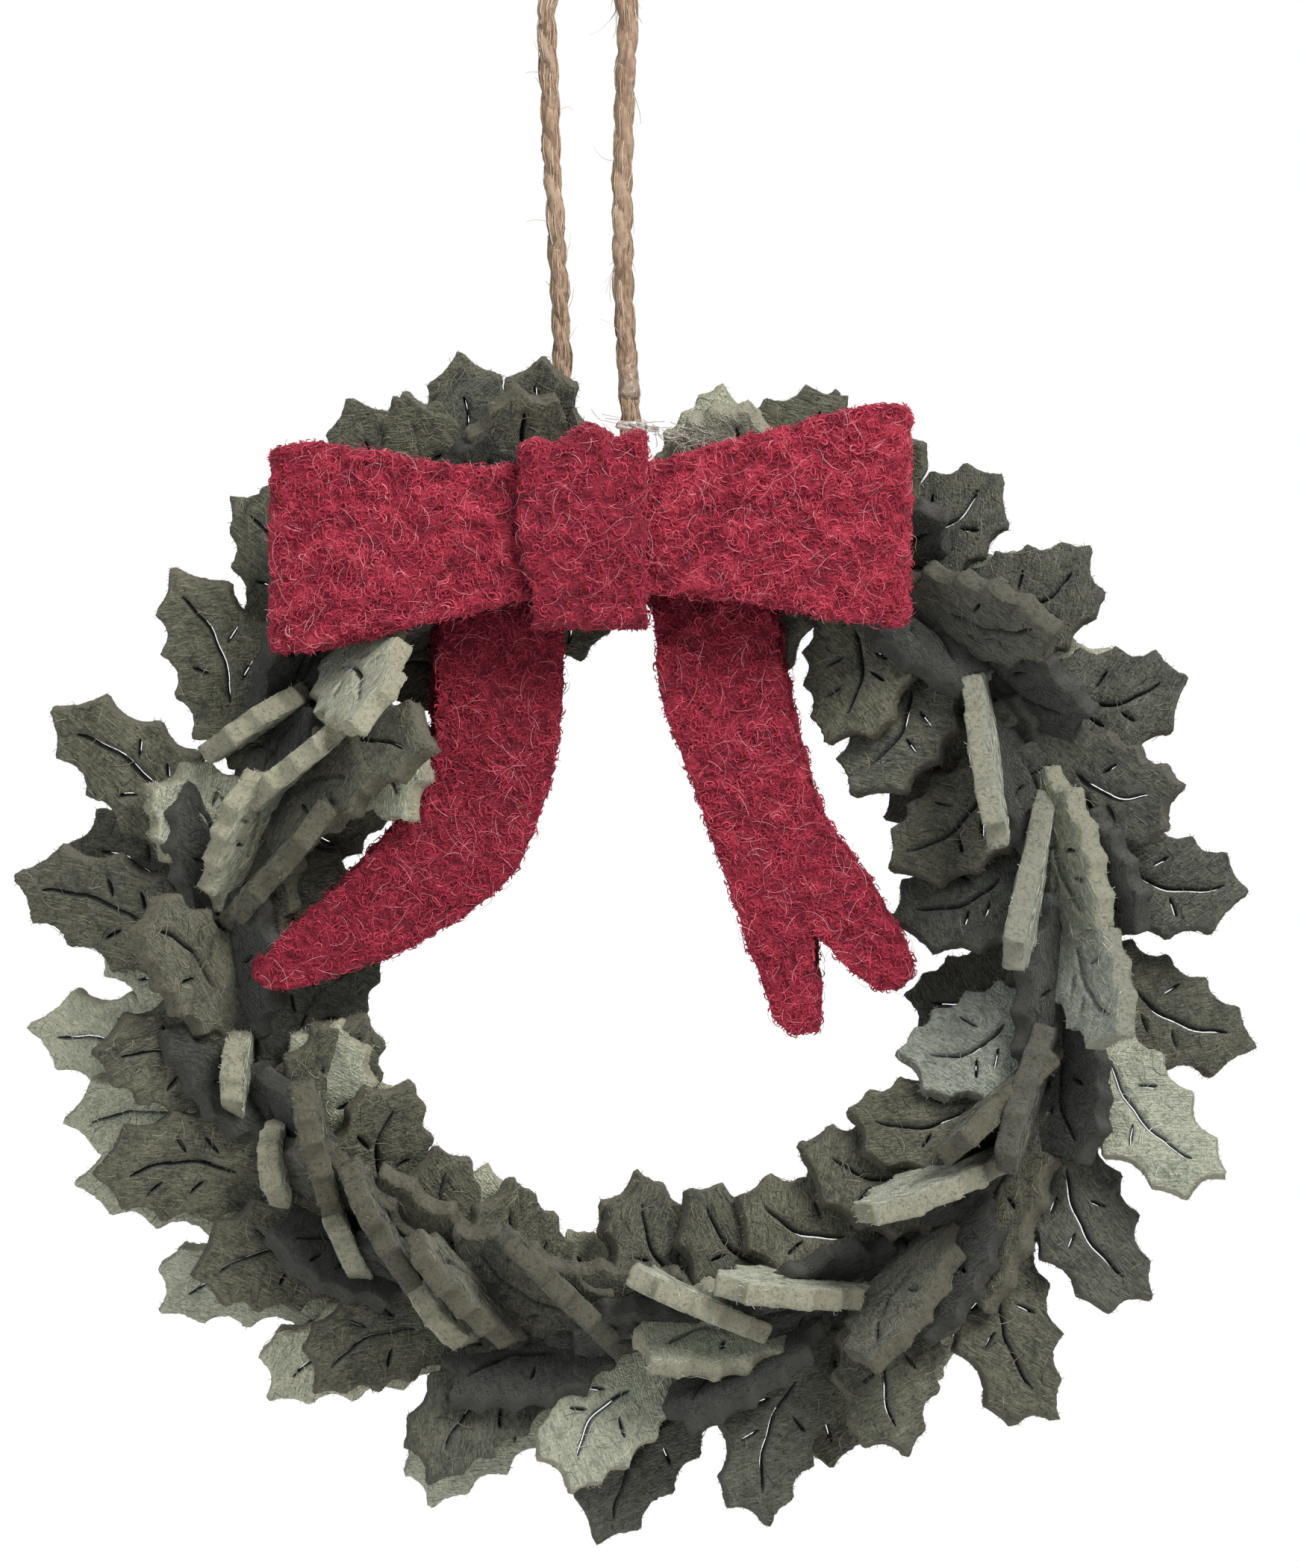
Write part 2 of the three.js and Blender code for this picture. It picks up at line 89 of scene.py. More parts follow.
# Each double leaf as in the CAD model: its place on the ring in degrees, its felt, and its two leaves as
# roll round the wire, sweep along it, share of the leaf length, and lean.
SPRIGS = [
    (107, "dark", (16, 24, 0.8, 10), (203, 8, 0.66, -20)),
    (114, "dark", (-16, 20, 0.9, 10), (262, 28, 0.8, 20)),
    (121, "dark", (10, 24, 0.82, 10), (195, 22, 0.72, -21)),
    (128, "dark", (-22, 28, 0.96, 12), (258, 28, 0.84, 20)),
    (136, "dark", (12, 26, 0.76, 12), (191, 28, 0.8, -22)),
    (143, "dark", (-25, 34, 0.94, 10), (262, 30, 0.84, 20)),
    (150, "pale", (146, -2, 0.86, -10), (284, 30, 0.84, 14)),
    (157, "dark", (2, 46, 1, 14), (206, 28, 0.8, -8)),
    (164, "pale", (88, 40, 0.9, 34), (268, 30, 0.9, 20)),
    (171, "dark", (-6, 34, 1.08, 14), (192, 38, 0.78, -12)),
    (178, "dark", (98, 42, 0.96, 38), (262, 32, 0.9, 20)),
    (185, "dark", (-12, 30, 1.06, 14), (186, 36, 0.72, -13)),
    (193, "dark", (50, 46, 0.86, 10), (254, 32, 0.84, 16)),
    (201, "dark", (16, 32, 0.8, 14), (187, 34, 0.8, -24)),
    (208, "pale", (-24, 30, 1.02, 10), (228, 36, 0.84, -4)),
    (215, "dark", (3, 36, 0.96, 14), (180, 40, 0.78, -26)),
    (222, "dark", (87, 38, 0.92, 30), (262, 30, 0.88, 20)),
    (229, "dark", (10, 42, 0.86, 14), (179, 40, 0.78, -25)),
    (236, "dark", (86, 38, 0.9, 30), (258, 32, 0.88, 20)),
    (244, "dark", (10, 42, 0.8, 14), (182, 42, 0.74, -25)),
    (251, "dark", (78, 42, 0.96, 36), (256, 32, 0.88, 20)),
    (258, "dark", (6, 38, 0.9, 14), (181, 42, 0.78, -25)),
    (265, "dark", (96, 42, 0.98, 38), (268, 32, 0.9, 20)),
    (272, "pale", (14, 42, 0.8, 12), (230, 32, 0.84, 8)),
    (279, "dark", (-20, 42, 1.08, 10), (182, 24, 0.8, -24)),
    (286, "pale", (90, 42, 0.92, 40), (256, 32, 0.9, 20)),
    (293, "dark", (-2, 42, 0.98, 14), (182, 28, 0.8, -24)),
    (300, "pale", (84, 42, 0.96, 40), (256, 30, 0.9, 20)),
    (307, "dark", (10, 42, 0.9, 14), (181, 36, 0.8, -25)),
    (314, "dark", (66, 46, 0.94, 6), (260, 30, 0.9, 20)),
    (321, "dark", (-8, 38, 1.1, 14), (182, 32, 0.8, -24)),
    (328, "pale", (80, 46, 1.08, 42), (258, 32, 0.9, 20)),
    (335, "dark", (-6, 40, 1.04, 14), (182, 38, 0.82, -25)),
    (342, "dark", (89, 40, 0.94, 32), (270, 32, 0.92, 20)),
    (349, "pale", (8, 40, 1.08, 14), (182, 38, 0.76, -24)),
    (356, "dark", (-18, 22, 1, 10), (214, 24, 0.8, -6)),
    (3, "pale", (62, 44, 0.9, 10), (262, 32, 0.88, 20)),
    (10, "dark", (-4, 24, 0.86, 14), (180, 14, 0.8, -24)),
    (17, "pale", (96, 42, 1, 26), (262, 32, 0.9, 20)),
    (24, "dark", (26, 40, 0.76, 10), (180, 18, 0.8, -26)),
    (31, "dark", (-10, 22, 0.84, 10), (212, 16, 0.8, -6)),
    (38, "pale", (98, 42, 1.06, 26), (260, 32, 0.9, 20)),
    (45, "dark", (-4, 24, 0.76, 14), (180, 20, 0.84, -24)),
    (52, "dark", (56, 46, 0.92, 8), (258, 32, 0.88, 20)),
    (59, "dark", (-8, 28, 0.76, 14), (180, 30, 0.8, -24)),
    (67, "dark", (14, 16, 0.7, 10), (262, 30, 0.8, 20)),
    (75, "dark", (-21, 24, 0.74, 10), (184, 16, 0.72, -24)),
    (85, "pale", (34, 24, 0.66, 8), (262, 30, 0.74, 20)),
]

# Loose leaves between them, in the same angles: station, felt, roll, sweep, share of the length, lean
LOOSE_LEAVES = [
    (196, "pale", -20, 60, 1.05, 0),
    (204, "pale", -20, 40, 1.2, 0),
    (219, "pale", -20, 40, 1.2, 0),
    (233, "pale", -20, 45, 1.15, 0),
    (247, "pale", -20, 50, 1.1, 0),
    (262, "pale", -20, 40, 1.1, 0),
    (303, "pale", -25, 0, 0.6, 0),
    (39, "pale", -25, 50, 0.95, 0),
    (52, "pale", -25, 50, 0.8, 0),
    (183, "dark", -25, 40, 0.95, 0),
    (297, "dark", -20, 30, 0.8, 0),
    (78, "dark", -25, 40, 0.8, 0),
    (86, "dark", -10, 55, 0.95, 0),
    (146, "pale", 90, -70, 0.6, 20),
    (112, "dark", 35, 35, 0.8, 0),
    (119, "dark", -10, 40, 0.9, 0),
    (124, "dark", 15, 35, 0.85, 0),
    (131, "dark", -15, 40, 0.95, 0),
    (139, "pale", 110, -5, 1.05, 0),
    (157, "dark", 130, 20, 1.15, 0),
    (165, "dark", 130, 25, 0.9, 0),
    (176, "pale", 65, 60, 0.8, 25),
    (186, "dark", 150, 70, 0.9, 0),
    (193, "dark", 175, 40, 0.85, 0),
    (212, "pale", 200, 40, 0.7, 0),
    (226, "pale", 200, 45, 0.75, 0),
    (240, "dark", 170, 55, 0.75, 0),
    (256, "pale", 200, 45, 0.8, 0),
    (275, "pale", 200, 50, 0.75, 0),
    (281, "dark", 175, 25, 0.85, 0),
    (292, "dark", 175, 35, 0.75, 0),
    (324, "dark", 175, 35, 0.85, 0),
    (236, "dark", 125, 65, 0.95, 0),
    (251, "dark", 140, 60, 1, 0),
    (266, "dark", 140, 55, 1, 0),
    (282, "dark", 150, 60, 0.85, 0),
    (290, "pale", 50, 75, 0.85, 25),
    (294, "pale", 140, 70, 0.85, 0),
    (345, "dark", 100, 40, 0.9, 0),
    (335, "dark", 40, 80, 1, 0),
    (322, "dark", 20, 80, 1, 0),
    (21, "pale", 60, 75, 0.85, 10),
    (86, "pale", 10, 25, 0.6, 0),
    (173, "pale", 30, 50, 0.6, 0),
    (218, "pale", 160, 45, 0.8, 0),
    (246, "pale", 175, 30, 0.65, 0),
    (195, "pale", 85, -75, 0.45, 20),
    (208, "pale", 85, -75, 0.45, 20),
    (222, "pale", 85, -75, 0.45, 20),
    (237, "pale", 85, -75, 0.45, 20),
]

# Short dark leaves lie along the ring between all the others, and cover the wire. They are painted darker
# still: painted shade in the depths between the leaves
FILLER_STEP = 7
FILLER_FIRST = 103.5
FILLER_ROLLS_AND_SHARES = [(52, 0.84), (292, 0.7), (128, 0.8), (238, 0.7)]
FILLER_SWEEP = 68
FILLER_TURN = 10  # how far its roll may differ, in degrees
FILLER_SWEEP_TURN = 7
# How much darker the fillers are painted than the leaves: painted shade
FILLER_PAINTED_SHADE = 0.4
# The cord swings through behind the wire between these stations: no filler lies behind the wire there, and
# the leaves are flat and slim
SWUNG_THROUGH = (95, 122)
SLIM_SHARE = 0.94

# The spines of a leaf on each side, from the wire outward: share of the length, share of the half width
CLOCKWISE_SPINE_SHARES = [(0.17, 0.9), (0.38, 1.04), (0.61, 1.0), (0.85, 0.76)]
OTHER_SPINE_SHARES = [(0.2, 0.88), (0.42, 1.0), (0.64, 0.92), (0.84, 0.66)]
EDGE_HOLLOW_SHARE = 0.22  # how deep the edge is hollowed between two spines, as a share of their distance
TIP_HOLLOW_SHARE = 0.1  # the same beside the tip
BLUNT_TIP_PART = 0.55  # of the leaves
BLUNT_TIP_SHARES = [(0.5, 0.97), (-0.3, 1)]  # its two corners: of the half width and of the length
SPINE_JITTER_SHARE = 0.015
SPINE_STRETCH_SHARES = (0.95, 1.05)
LEAF_WIDTH_SHARES = (0.94, 1.04)
MIDRIB_BOW = 1.2  # the leaf's centre line bulges sideways by this
MIDRIB_SHARES = (0.3, 0.86)
MIDRIB_ARC = 1.1  # its slit bulges this much more
MIDRIB_WAVE = 0.12
VEIN_SHARES = [(0.4, 1), (0.57, 1), (0.46, -1), (0.66, -1)]  # along the leaf, and the side
VEIN_GAP = 1.6  # from the centre line to the vein's slit
VEIN_LENGTH = 2.3
VEIN_ANGLES = (28, 48)
SLIT_HALF_WIDTH = 0.4
SLIT_CLOSING_SHARE = 0.85  # its walls nearly meet halfway through the felt
SLIT_CLEARANCE = 0.8  # from the leaf's edge
# The deep walls of the slits are painted darker: painted shade inside them
SLIT_PAINTED_SHADE = 0.35
LEAF_BEND = 1.1  # of a leaf's tip, out of its plane
LEAF_CUPPING = 0.02  # out of its plane, times the square of the distance from its centre line
LEAF_WAVE = 0.3
LEAF_WAVE_SIZE = 6
LEAF_BUMPS = 0.06
SLEEVE_BUMPS = 0.08
FELT_BUMP_SIZE = 0.9
FELT_STEP = 0.85
FELT_EDGE_RADIUS = 0.3
FELT_EDGE_ROUGHNESS = 0.05
EDGE_STEP = 0.4
FINE_STEP = 0.1  # of outlines, before they are softened
PATTERN_SHIFT = 500  # each piece of felt takes its pattern from another place, up to this far away
FUZZ_COUNT = 200  # fibres that stand on the cut edges of a leaf, and as many that lie on its faces
FUZZ_REACH = 0.4  # how far they stand off the felt
FUZZ_LENGTHS = (0.25, 0.7)
LONG_FUZZ_PART = 0.04  # of those on the edges, twice as long
FUZZ_TURN_RADII = (0.5, 2)
FUZZ_RADII = (0.022, 0.045)
LYING_REACH = 0.06
LYING_LENGTHS = (1, 2.8)
LYING_TURN_RADII = (1, 5)
LYING_RADII = (0.025, 0.05)
LEAF_TONE = 1.17
# Painted light: the leaves are painted darker at the right, where the key light falls, and paler at the left
LEAF_PAINTED_LIGHT_ASIDE = 0.1  # how much darker the leaves are at the right, and paler at the left
LEAF_TONE_SPREAD = 0.09

# The cord's route, as in the CAD model, before it drops by the twine's radius
TWINE_DIAMETER = 2.1
TWINE_ROUTE = [
    (-2.4, 2.8, -61.3),
    (-2.45, 2.7, -57),
    (-2.6, 2.4, -50),
    (-2.95, 2, -42),
    (-3.3, 1.6, -34),
    (-3.75, 1.2, -26),
    (-4.15, 0.8, -18),
    (-4.35, 0.4, -11),
    (-4.6, 0.1, -6.5),
    (-4.45, 0, -3.6),
    (-3.2, 0, -1.2),
    (-0.1, 0, 0),
    (3.1, 0, -1.2),
    (4.35, 0, -3.6),
    (4.45, -0.1, -6.5),
    (4.2, -0.3, -11),
    (4, -0.8, -18),
    (3.85, -1.2, -26),
    (3.95, -1.6, -34),
    (4.3, -2, -42),
    (4.75, -2.4, -50),
    (4.95, -2.7, -57),
    (4.95, -2.8, -59.8),
    (4.4, -2.45, -61.9),
    (2.9, -1.25, -63.9),
    (1.2, 0, -64.4),
    (-0.6, 1.25, -63.8),
]
TWINE_STEP = 0.3
TWINE_PITCH = 8
PLY_RADIUS = 0.78
PLY_OFFSET = 0.27
PLY_SWELL = 0.14  # how much thicker it is on the front strand
PLY_UNEVENNESS = 0.07
PLY_SIDES = 14
PLY_FIBRES = 300
GROOVE_TWIST = 0.35  # how the fibres turn round their ply, in radians to a millimetre
GROOVES_AROUND = 4
GROOVE_DEPTH = 0.11
FLUFF_DEPTH = 0.05
SWELL_REACH = 8  # beside the cord's middle, over which it gets thicker
UNEVENNESS_SIZE = 7
PLY_FIBRE_LENGTHS = (5, 16)  # a pair like this is the range of a random draw
PLY_FIBRE_RADII = (0.035, 0.1)
LIFTED_END_PART = 0.12  # of these fibres
LIFTED_END_HEIGHTS = (0.2, 1.1)
STRAY_COUNT = 18
STRAY_LENGTHS = (2.5, 7)
STRAY_TURN_RADII = (2, 6)
STRAY_RADII = (0.025, 0.045)
STRAY_MARGIN = 30  # steps of the cord without a stray at each end
GLUE_FILM_RADIUS = 1.1  # round the cord's front strand
GLUE_DROP_HEIGHT = 0.16
GLUE_END_GAP = 0.2  # from the ends of its node
# Threads of glue: place from the smears, spread, and how many
GLUE_THREADS = [((6, 0.5, -1.2), (3, 0.8, 1.2), 34), ((0, 0, 0.5), (1.5, 0.6, 0.8), 7)]
THREAD_LENGTHS = (1.5, 4.5)
THREAD_TURN_RADII = (1, 5)
THREAD_RADII = (0.03, 0.07)
# Smears of glue beside the band's right edge: aside, up, half width, half height
GLUE_SMEARS = [(-0.7, -0.1, 1.3, 0.45), (0.6, -0.3, 1.0, 0.5), (2.0, -0.5, 0.9, 0.3)]
GLUE_SMEAR_HALF_DEPTH = 0.3
GLUE_SMEAR_INSET = 2.2  # from the band's right edge
GLUE_SMEAR_DEPTH = 8.4  # behind the band's front

# The bow
PLUSH_THICKNESS = 2.4
BAND_THICKNESS = 1.8
TAIL_THICKNESS = 2.1
PLUSH_STEP = 0.45
NUB_HEIGHT = 0.4  # of the nubs of boucle
NUB_SINK = 0.45  # how far the cloth lies under its thickness between the nubs
CLOTH_SINK = 0.15  # of the faces of band and tails, since the nubs stand above them
LOOP_PUFF = 1.0  # how far each layer of a loop swells away from the other
LOOP_SLACK = 0.1
LOOP_BACK_LIFT = 0.35  # the back of a loop starts higher and ends lower than its front
LOOP_BACK_DROP = 0.45
LOOP_PILE = 5400  # curls of wool in one of its two pieces of pile
CLOTH_PILE = 5200  # the same for the band and each ply of a tail
PILE_REACH = 0.35  # how far the curls stand off the cloth
PILE_LENGTHS = (1, 2.2)
PILE_TURN_RADII = (0.3, 0.8)
PILE_RADII = (0.06, 0.11)
CURLS_TO_A_HAIR = 9
HAIR_REACH = 0.6
HAIR_LENGTHS = (1.5, 4.5)
HAIR_TURN_RADII = (1.5, 5)
HAIR_RADII = (0.02, 0.035)
# The edges of its loops: share of the reach from the middle, share of the loop's height
LEFT_TOP_SHARES = [
    (0, 0.9), (0.2, 0.895), (0.35, 0.885), (0.5, 0.915), (0.62, 0.955), (0.76, 0.985), (0.88, 1), (1, 0.975),
]
LEFT_BOTTOM_SHARES = [
    (0, 0.27), (0.2, 0.24), (0.35, 0.185), (0.5, 0.135), (0.62, 0.09), (0.76, 0.035), (0.88, 0), (1, 0),
]
RIGHT_TOP_SHARES = [
    (0, 0.7), (0.19, 0.735), (0.3, 0.775), (0.44, 0.836), (0.58, 0.885), (0.71, 0.94), (0.9, 1), (1, 0.99),
]
RIGHT_BOTTOM_SHARES = [
    (0, 0.15), (0.24, 0.14), (0.37, 0.128), (0.5, 0.1), (0.63, 0.062), (0.79, 0.02), (0.93, 0), (1, 0),
]
LOOPS = [("left", LEFT_TOP_SHARES, LEFT_BOTTOM_SHARES), ("right", RIGHT_TOP_SHARES, RIGHT_BOTTOM_SHARES)]
# The soft rolls of its band: share of the band's width, and how high each stands above the band's top
BAND_ROLLS = [(0.17, -1.4), (0.55, 0.2), (0.9, -0.6)]
BAND_ROLL_SHARE = 0.22  # of the width, over which a roll falls by its depth
BAND_ROLL_DEPTH = 1.6
BAND_FURROW_DEPTH = 0.6  # between the rolls
BAND_SOFTENING = 144  # passes that round its corners
BAND_INSET = 0.3
BAND_NARROWING = 1.98  # of its left edge, towards its lower end
# The band is painted darker than the loops: painted shade
BAND_PAINTED_SHADE_BRIGHTNESS = 0.6  # beside the loops, which have 1
# Its tails as in the CAD model: shares of the reach sideways and of the length down
LEFT_TAIL_SHARES = [
    (0, 0), (0.005, 0.22), (0.01, 0.4), (0.04, 0.55), (0.14, 0.73), (0.26, 0.81), (0.39, 0.87),
    (0.56, 0.93), (0.9, 1), (0.98, 0.99), (1, 0.975), (0.99, 0.95), (0.755, 0.81), (0.52, 0.65),
    (0.44, 0.55), (0.41, 0.49), (0.4, 0.22), (0.22, 0),
]
RIGHT_TAIL_SHARES = [
    (0, 0), (0.2, 0.12), (0.215, 0.29), (0.39, 0.61), (0.51, 0.84), (0.58, 0.97), (0.63, 1),
    (0.69, 1), (0.7, 0.94), (0.68, 0.77), (0.82, 0.87), (0.92, 0.91), (0.96, 0.91), (1, 0.86),
    (0.87, 0.7), (0.7, 0.545), (0.62, 0.36), (0.58, 0.2), (0.56, 0.12), (0.33, 0),
]
# The tails are painted darker than the loops, the left one most: painted shade below the bow
TAILS = [("left", 0.4, LEFT_TAIL_SHARES), ("right", 0.65, RIGHT_TAIL_SHARES)]  # with their brightness
TAIL_EDGE_RADIUS = 0.45
TAIL_EDGE_ROUGHNESS = 0.03
TAIL_SOFTENING = 160  # passes that round its outline

# The photograph's frame, and the camera that sees it
PHOTO_WIDTH, PHOTO_HEIGHT = 1743, 2100  # pixels
PIXELS_PER_MM = 12
RING_PIXEL_X, RING_PIXEL_Y = 868, 1243
CAMERA_DISTANCE = 900
SENSOR_SIZE = 36

# Lamps: place from the wreath's centre, size, power and tint
LIGHTS = [
    ("key_light", (380, -560, 560), 420, 10, (1, 0.98, 0.95)),
    ("fill_light", (-520, -640, 160), 700, 3, (0.94, 0.97, 1)),
    ("rim_light", (0, 520, 600), 500, 3, (1, 1, 1)),
]
WORLD_STRENGTH = 0.17  # on the wreath. The camera sees it white
FLOOR_RADIUS = 420
FLOOR_DROP = 84  # below the wreath
FLOOR_RING_SHARES = (0.001, 0.4, 0.8, 1)
FLOOR_UNEVENNESS = 0.001


def make_camera():
    aside = (PHOTO_WIDTH / 2 - RING_PIXEL_X) / PIXELS_PER_MM
    up = (RING_PIXEL_Y - PHOTO_HEIGHT / 2) / PIXELS_PER_MM
    target = RING_CENTRE + np.array([aside, 0, up])
    data = bpy.data.cameras.new("camera")
    data.sensor_width = SENSOR_SIZE
    data.lens = SENSOR_SIZE * CAMERA_DISTANCE * PIXELS_PER_MM / PHOTO_HEIGHT
    camera = bpy.data.objects.new("camera", data)
    camera.location = (target + CAMERA_DISTANCE * FRONT) * MM
    camera.rotation_euler = (math.pi / 2, 0, 0)
    bpy.context.scene.collection.objects.link(camera)
    bpy.context.scene.camera = camera


# Numbers and noise


def unit(vectors):
    return vectors / np.maximum(np.linalg.norm(vectors, axis=-1, keepdims=True), 1e-9)


def hashed(cells, seed):
    """A fixed random value between -1 and 1 for each whole-numbered place."""
    mixed = cells[..., 0] * 374761393 + cells[..., 1] * 668265263 + cells[..., 2] * 2147483647
    mixed = (mixed + seed * 1274126177) & 0xFFFFFFFF
    mixed = ((mixed ^ (mixed >> 13)) * 1274126177) & 0xFFFFFFFF
    return (mixed ^ (mixed >> 16)) / 0xFFFFFFFF * 2 - 1


def noise(points, size, seed):
    """Smooth values between -1 and 1 that change over about that size."""
    scaled = points / size
    base = np.floor(scaled).astype(np.int64)
    part = scaled - base
    part = part * part * (3 - 2 * part)
    total = np.zeros(points.shape[:-1])
    for corner in np.ndindex(2, 2, 2):
        weight = np.prod(np.where(corner, part, 1 - part), axis=-1)
        total += weight * hashed(base + np.array(corner), seed)
    return total


def interpolated(places, along, values):
    return np.stack([np.interp(places, along, column) for column in values.T], axis=1)


def full_turn(count):
    """So many angles, evenly round a circle."""
    return 2 * np.pi * np.arange(count) / count


def on_circle(angles, first, second):
    """Directions at these angles, counted from the first towards the second."""
    return np.cos(angles)[..., None] * first + np.sin(angles)[..., None] * second


def resampled(points, step, closed=True):
    """The same line with its points about a step apart."""
    if closed:
        points = np.vstack([points, points[:1]])
    along = np.concatenate([[0], np.cumsum(np.linalg.norm(np.diff(points, axis=0), axis=1))])
    count = max(4, round(along[-1] / step))
    places = np.linspace(0, along[-1], count, endpoint=not closed)
    return interpolated(places, along, points)


def softened(loop, passes):
    for _ in range(passes):
        loop = (np.roll(loop, 1, axis=0) + 2 * loop + np.roll(loop, -1, axis=0)) / 4
    return loop


def smoothstep(value, low, high):
    share = np.clip((value - low) / (high - low), 0, 1)
    return share * share * (3 - 2 * share)


# Meshes


class Shape:
    """Triangles of one piece in millimetres, with the values that its materials read at each point."""

    def __init__(self):
        self.points, self.triangles, self.place, self.tone, self.cut, self.material = [], [], [], [], [], []
        self.count = 0

    def add(self, points, triangles, tone, place=None, cut=0.0, material=0):
        number = len(points)
        self.points.append(points)
        self.triangles.append(triangles + self.count)
        self.place.append(points if place is None else place)
        self.tone.append(np.broadcast_to(tone, number))
        self.cut.append(np.broadcast_to(cut, number))
        self.material.append(np.full(len(triangles), material))
        self.count += number


def make_object(name, shape, materials):
    points = np.vstack(shape.points)
    triangles = np.vstack(shape.triangles)
    mesh = bpy.data.meshes.new(name)
    mesh.vertices.add(len(points))
    mesh.vertices.foreach_set("co", (points * MM).astype(np.float32).ravel())
    mesh.loops.add(triangles.size)
    mesh.loops.foreach_set("vertex_index", triangles.astype(np.int32).ravel())
    mesh.polygons.add(len(triangles))
    mesh.polygons.foreach_set("loop_start", np.arange(0, triangles.size, 3, dtype=np.int32))
    mesh.polygons.foreach_set("material_index", np.concatenate(shape.material).astype(np.int32))
    mesh.polygons.foreach_set("use_smooth", np.ones(len(triangles), bool))
    mesh.update(calc_edges=True)
    place = mesh.attributes.new("place", "FLOAT_VECTOR", "POINT")
    place.data.foreach_set("vector", np.vstack(shape.place).astype(np.float32).ravel())
    for key, values in (("tone", shape.tone), ("cut", shape.cut)):
        attribute = mesh.attributes.new(key, "FLOAT", "POINT")
        attribute.data.foreach_set("value", np.concatenate(values).astype(np.float32))
    for material in materials:
        mesh.materials.append(material)
    made = bpy.data.objects.new(name, mesh)
    bpy.context.scene.collection.objects.link(made)
    return made


def make_piece(name, shape, materials, body, replaces=()):
    piece = make_object(name, shape, materials)
    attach(piece, body)
    if replaces:
        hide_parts(*replaces)
    return piece


def frames_along(lines):
    """For many lines at once: the direction along them, and two directions across that don't twist."""
    tangent = unit(np.gradient(lines, axis=1))
    across = np.empty_like(tangent)
    helper = np.where(np.abs(tangent[:, 0, 2:]) < 0.8, [[0.0, 0.0, 1.0]], [[1.0, 0.0, 0.0]])
    side = unit(np.cross(tangent[:, 0], helper))
    for k in range(lines.shape[1]):
        side = unit(side - tangent[:, k] * np.sum(side * tangent[:, k], axis=1, keepdims=True))
        across[:, k] = side
    return tangent, across, np.cross(tangent, across)


def tubes(lines, radii, sides=3):
    """Closed tubes along many lines of as many points each: points and triangles."""
    count, steps, _ = lines.shape
    _, across, up = frames_along(lines)
    ring = on_circle(full_turn(sides), across[:, :, None], up[:, :, None])
    points = lines[:, :, None] + ring * radii[:, :, None, None]
    here = np.arange(steps - 1)[:, None] * sides + np.arange(sides)
    beside = np.arange(steps - 1)[:, None] * sides + (np.arange(sides) + 1) % sides
    walls = [(here, beside, beside + sides), (here, beside + sides, here + sides)]
    fan = np.arange(1, sides - 1)
    first = np.stack([np.zeros_like(fan), fan + 1, fan], -1)
    last = np.stack([np.zeros_like(fan), fan, fan + 1], -1) + (steps - 1) * sides
    one = np.vstack([np.stack(wall, -1).reshape(-1, 3) for wall in walls] + [first, last])
    triangles = (one + np.arange(count)[:, None, None] * steps * sides).reshape(-1, 3)
    return points.reshape(-1, 3), triangles


def add_fibres(shape, lines, radii, tones, material=0):
    """A thin tube along each line, in a tone of its own."""
    points, triangles = tubes(lines, radii)
    shape.add(points, triangles, np.repeat(tones, len(points) // len(lines)), material=material)


def numbered(rows, columns):
    return np.arange(rows * columns).reshape(rows, columns)


def grid_triangles(index, closed_rows=False):
    """Two triangles for each cell of a grid of point numbers whose columns close on themselves."""
    below = index if closed_rows else index[:-1]
    above = np.roll(index, -1, axis=0) if closed_rows else index[1:]
    below_next, above_next = np.roll(below, -1, axis=1), np.roll(above, -1, axis=1)
    return np.vstack([
        np.stack([below, above, above_next], -1).reshape(-1, 3),
        np.stack([below, above_next, below_next], -1).reshape(-1, 3),
    ])


def face_normals(corners):
    """Normals as long as twice the area of their triangles."""
    return np.cross(corners[:, 1] - corners[:, 0], corners[:, 2] - corners[:, 0])


def point_normals(points, triangles):
    faces = face_normals(points[triangles])
    total = np.zeros_like(points)
    for k in range(3):
        np.add.at(total, triangles[:, k], faces)
    return unit(total)


def surface_samples(points, triangles, weights, count, rng):
    """Random places on a surface and its normals there."""
    corners = points[triangles]
    cross = face_normals(corners)
    area = np.linalg.norm(cross, axis=1) * weights
    chosen = rng.choice(len(triangles), size=count, p=area / area.sum())
    first, second = rng.random((2, count, 1))
    fold = first + second > 1
    first, second = np.where(fold, 1 - first, first), np.where(fold, 1 - second, second)
    picked = corners[chosen]
    places = picked[:, 0] + first * (picked[:, 1] - picked[:, 0]) + second * (picked[:, 2] - picked[:, 0])
    return places, unit(cross[chosen]), chosen


def turned(vectors, axes, angles):
    """Vectors turned about unit axes, each by its own angle."""
    cosine, sine = np.cos(angles)[:, None], np.sin(angles)[:, None]
    along = np.sum(vectors * axes, axis=1, keepdims=True)
    return vectors * cosine + np.cross(axes, vectors) * sine + axes * along * (1 - cosine)


def curly_lines(starts, headings, axes, lengths, curl_radii, steps, wander, rng):
    """Lines that leave their starts and keep turning about their axes, with a little wandering."""
    count = len(starts)
    lines = np.empty((count, steps, 3))
    lines[:, 0] = starts
    heading = unit(headings)
    stride = (lengths / (steps - 1))[:, None]
    for k in range(1, steps):
        lines[:, k] = lines[:, k - 1] + heading * stride
        heading = turned(heading, axes, stride[:, 0] / curl_radii)
        heading = unit(heading + wander * rng.normal(size=(count, 3)))
    return lines


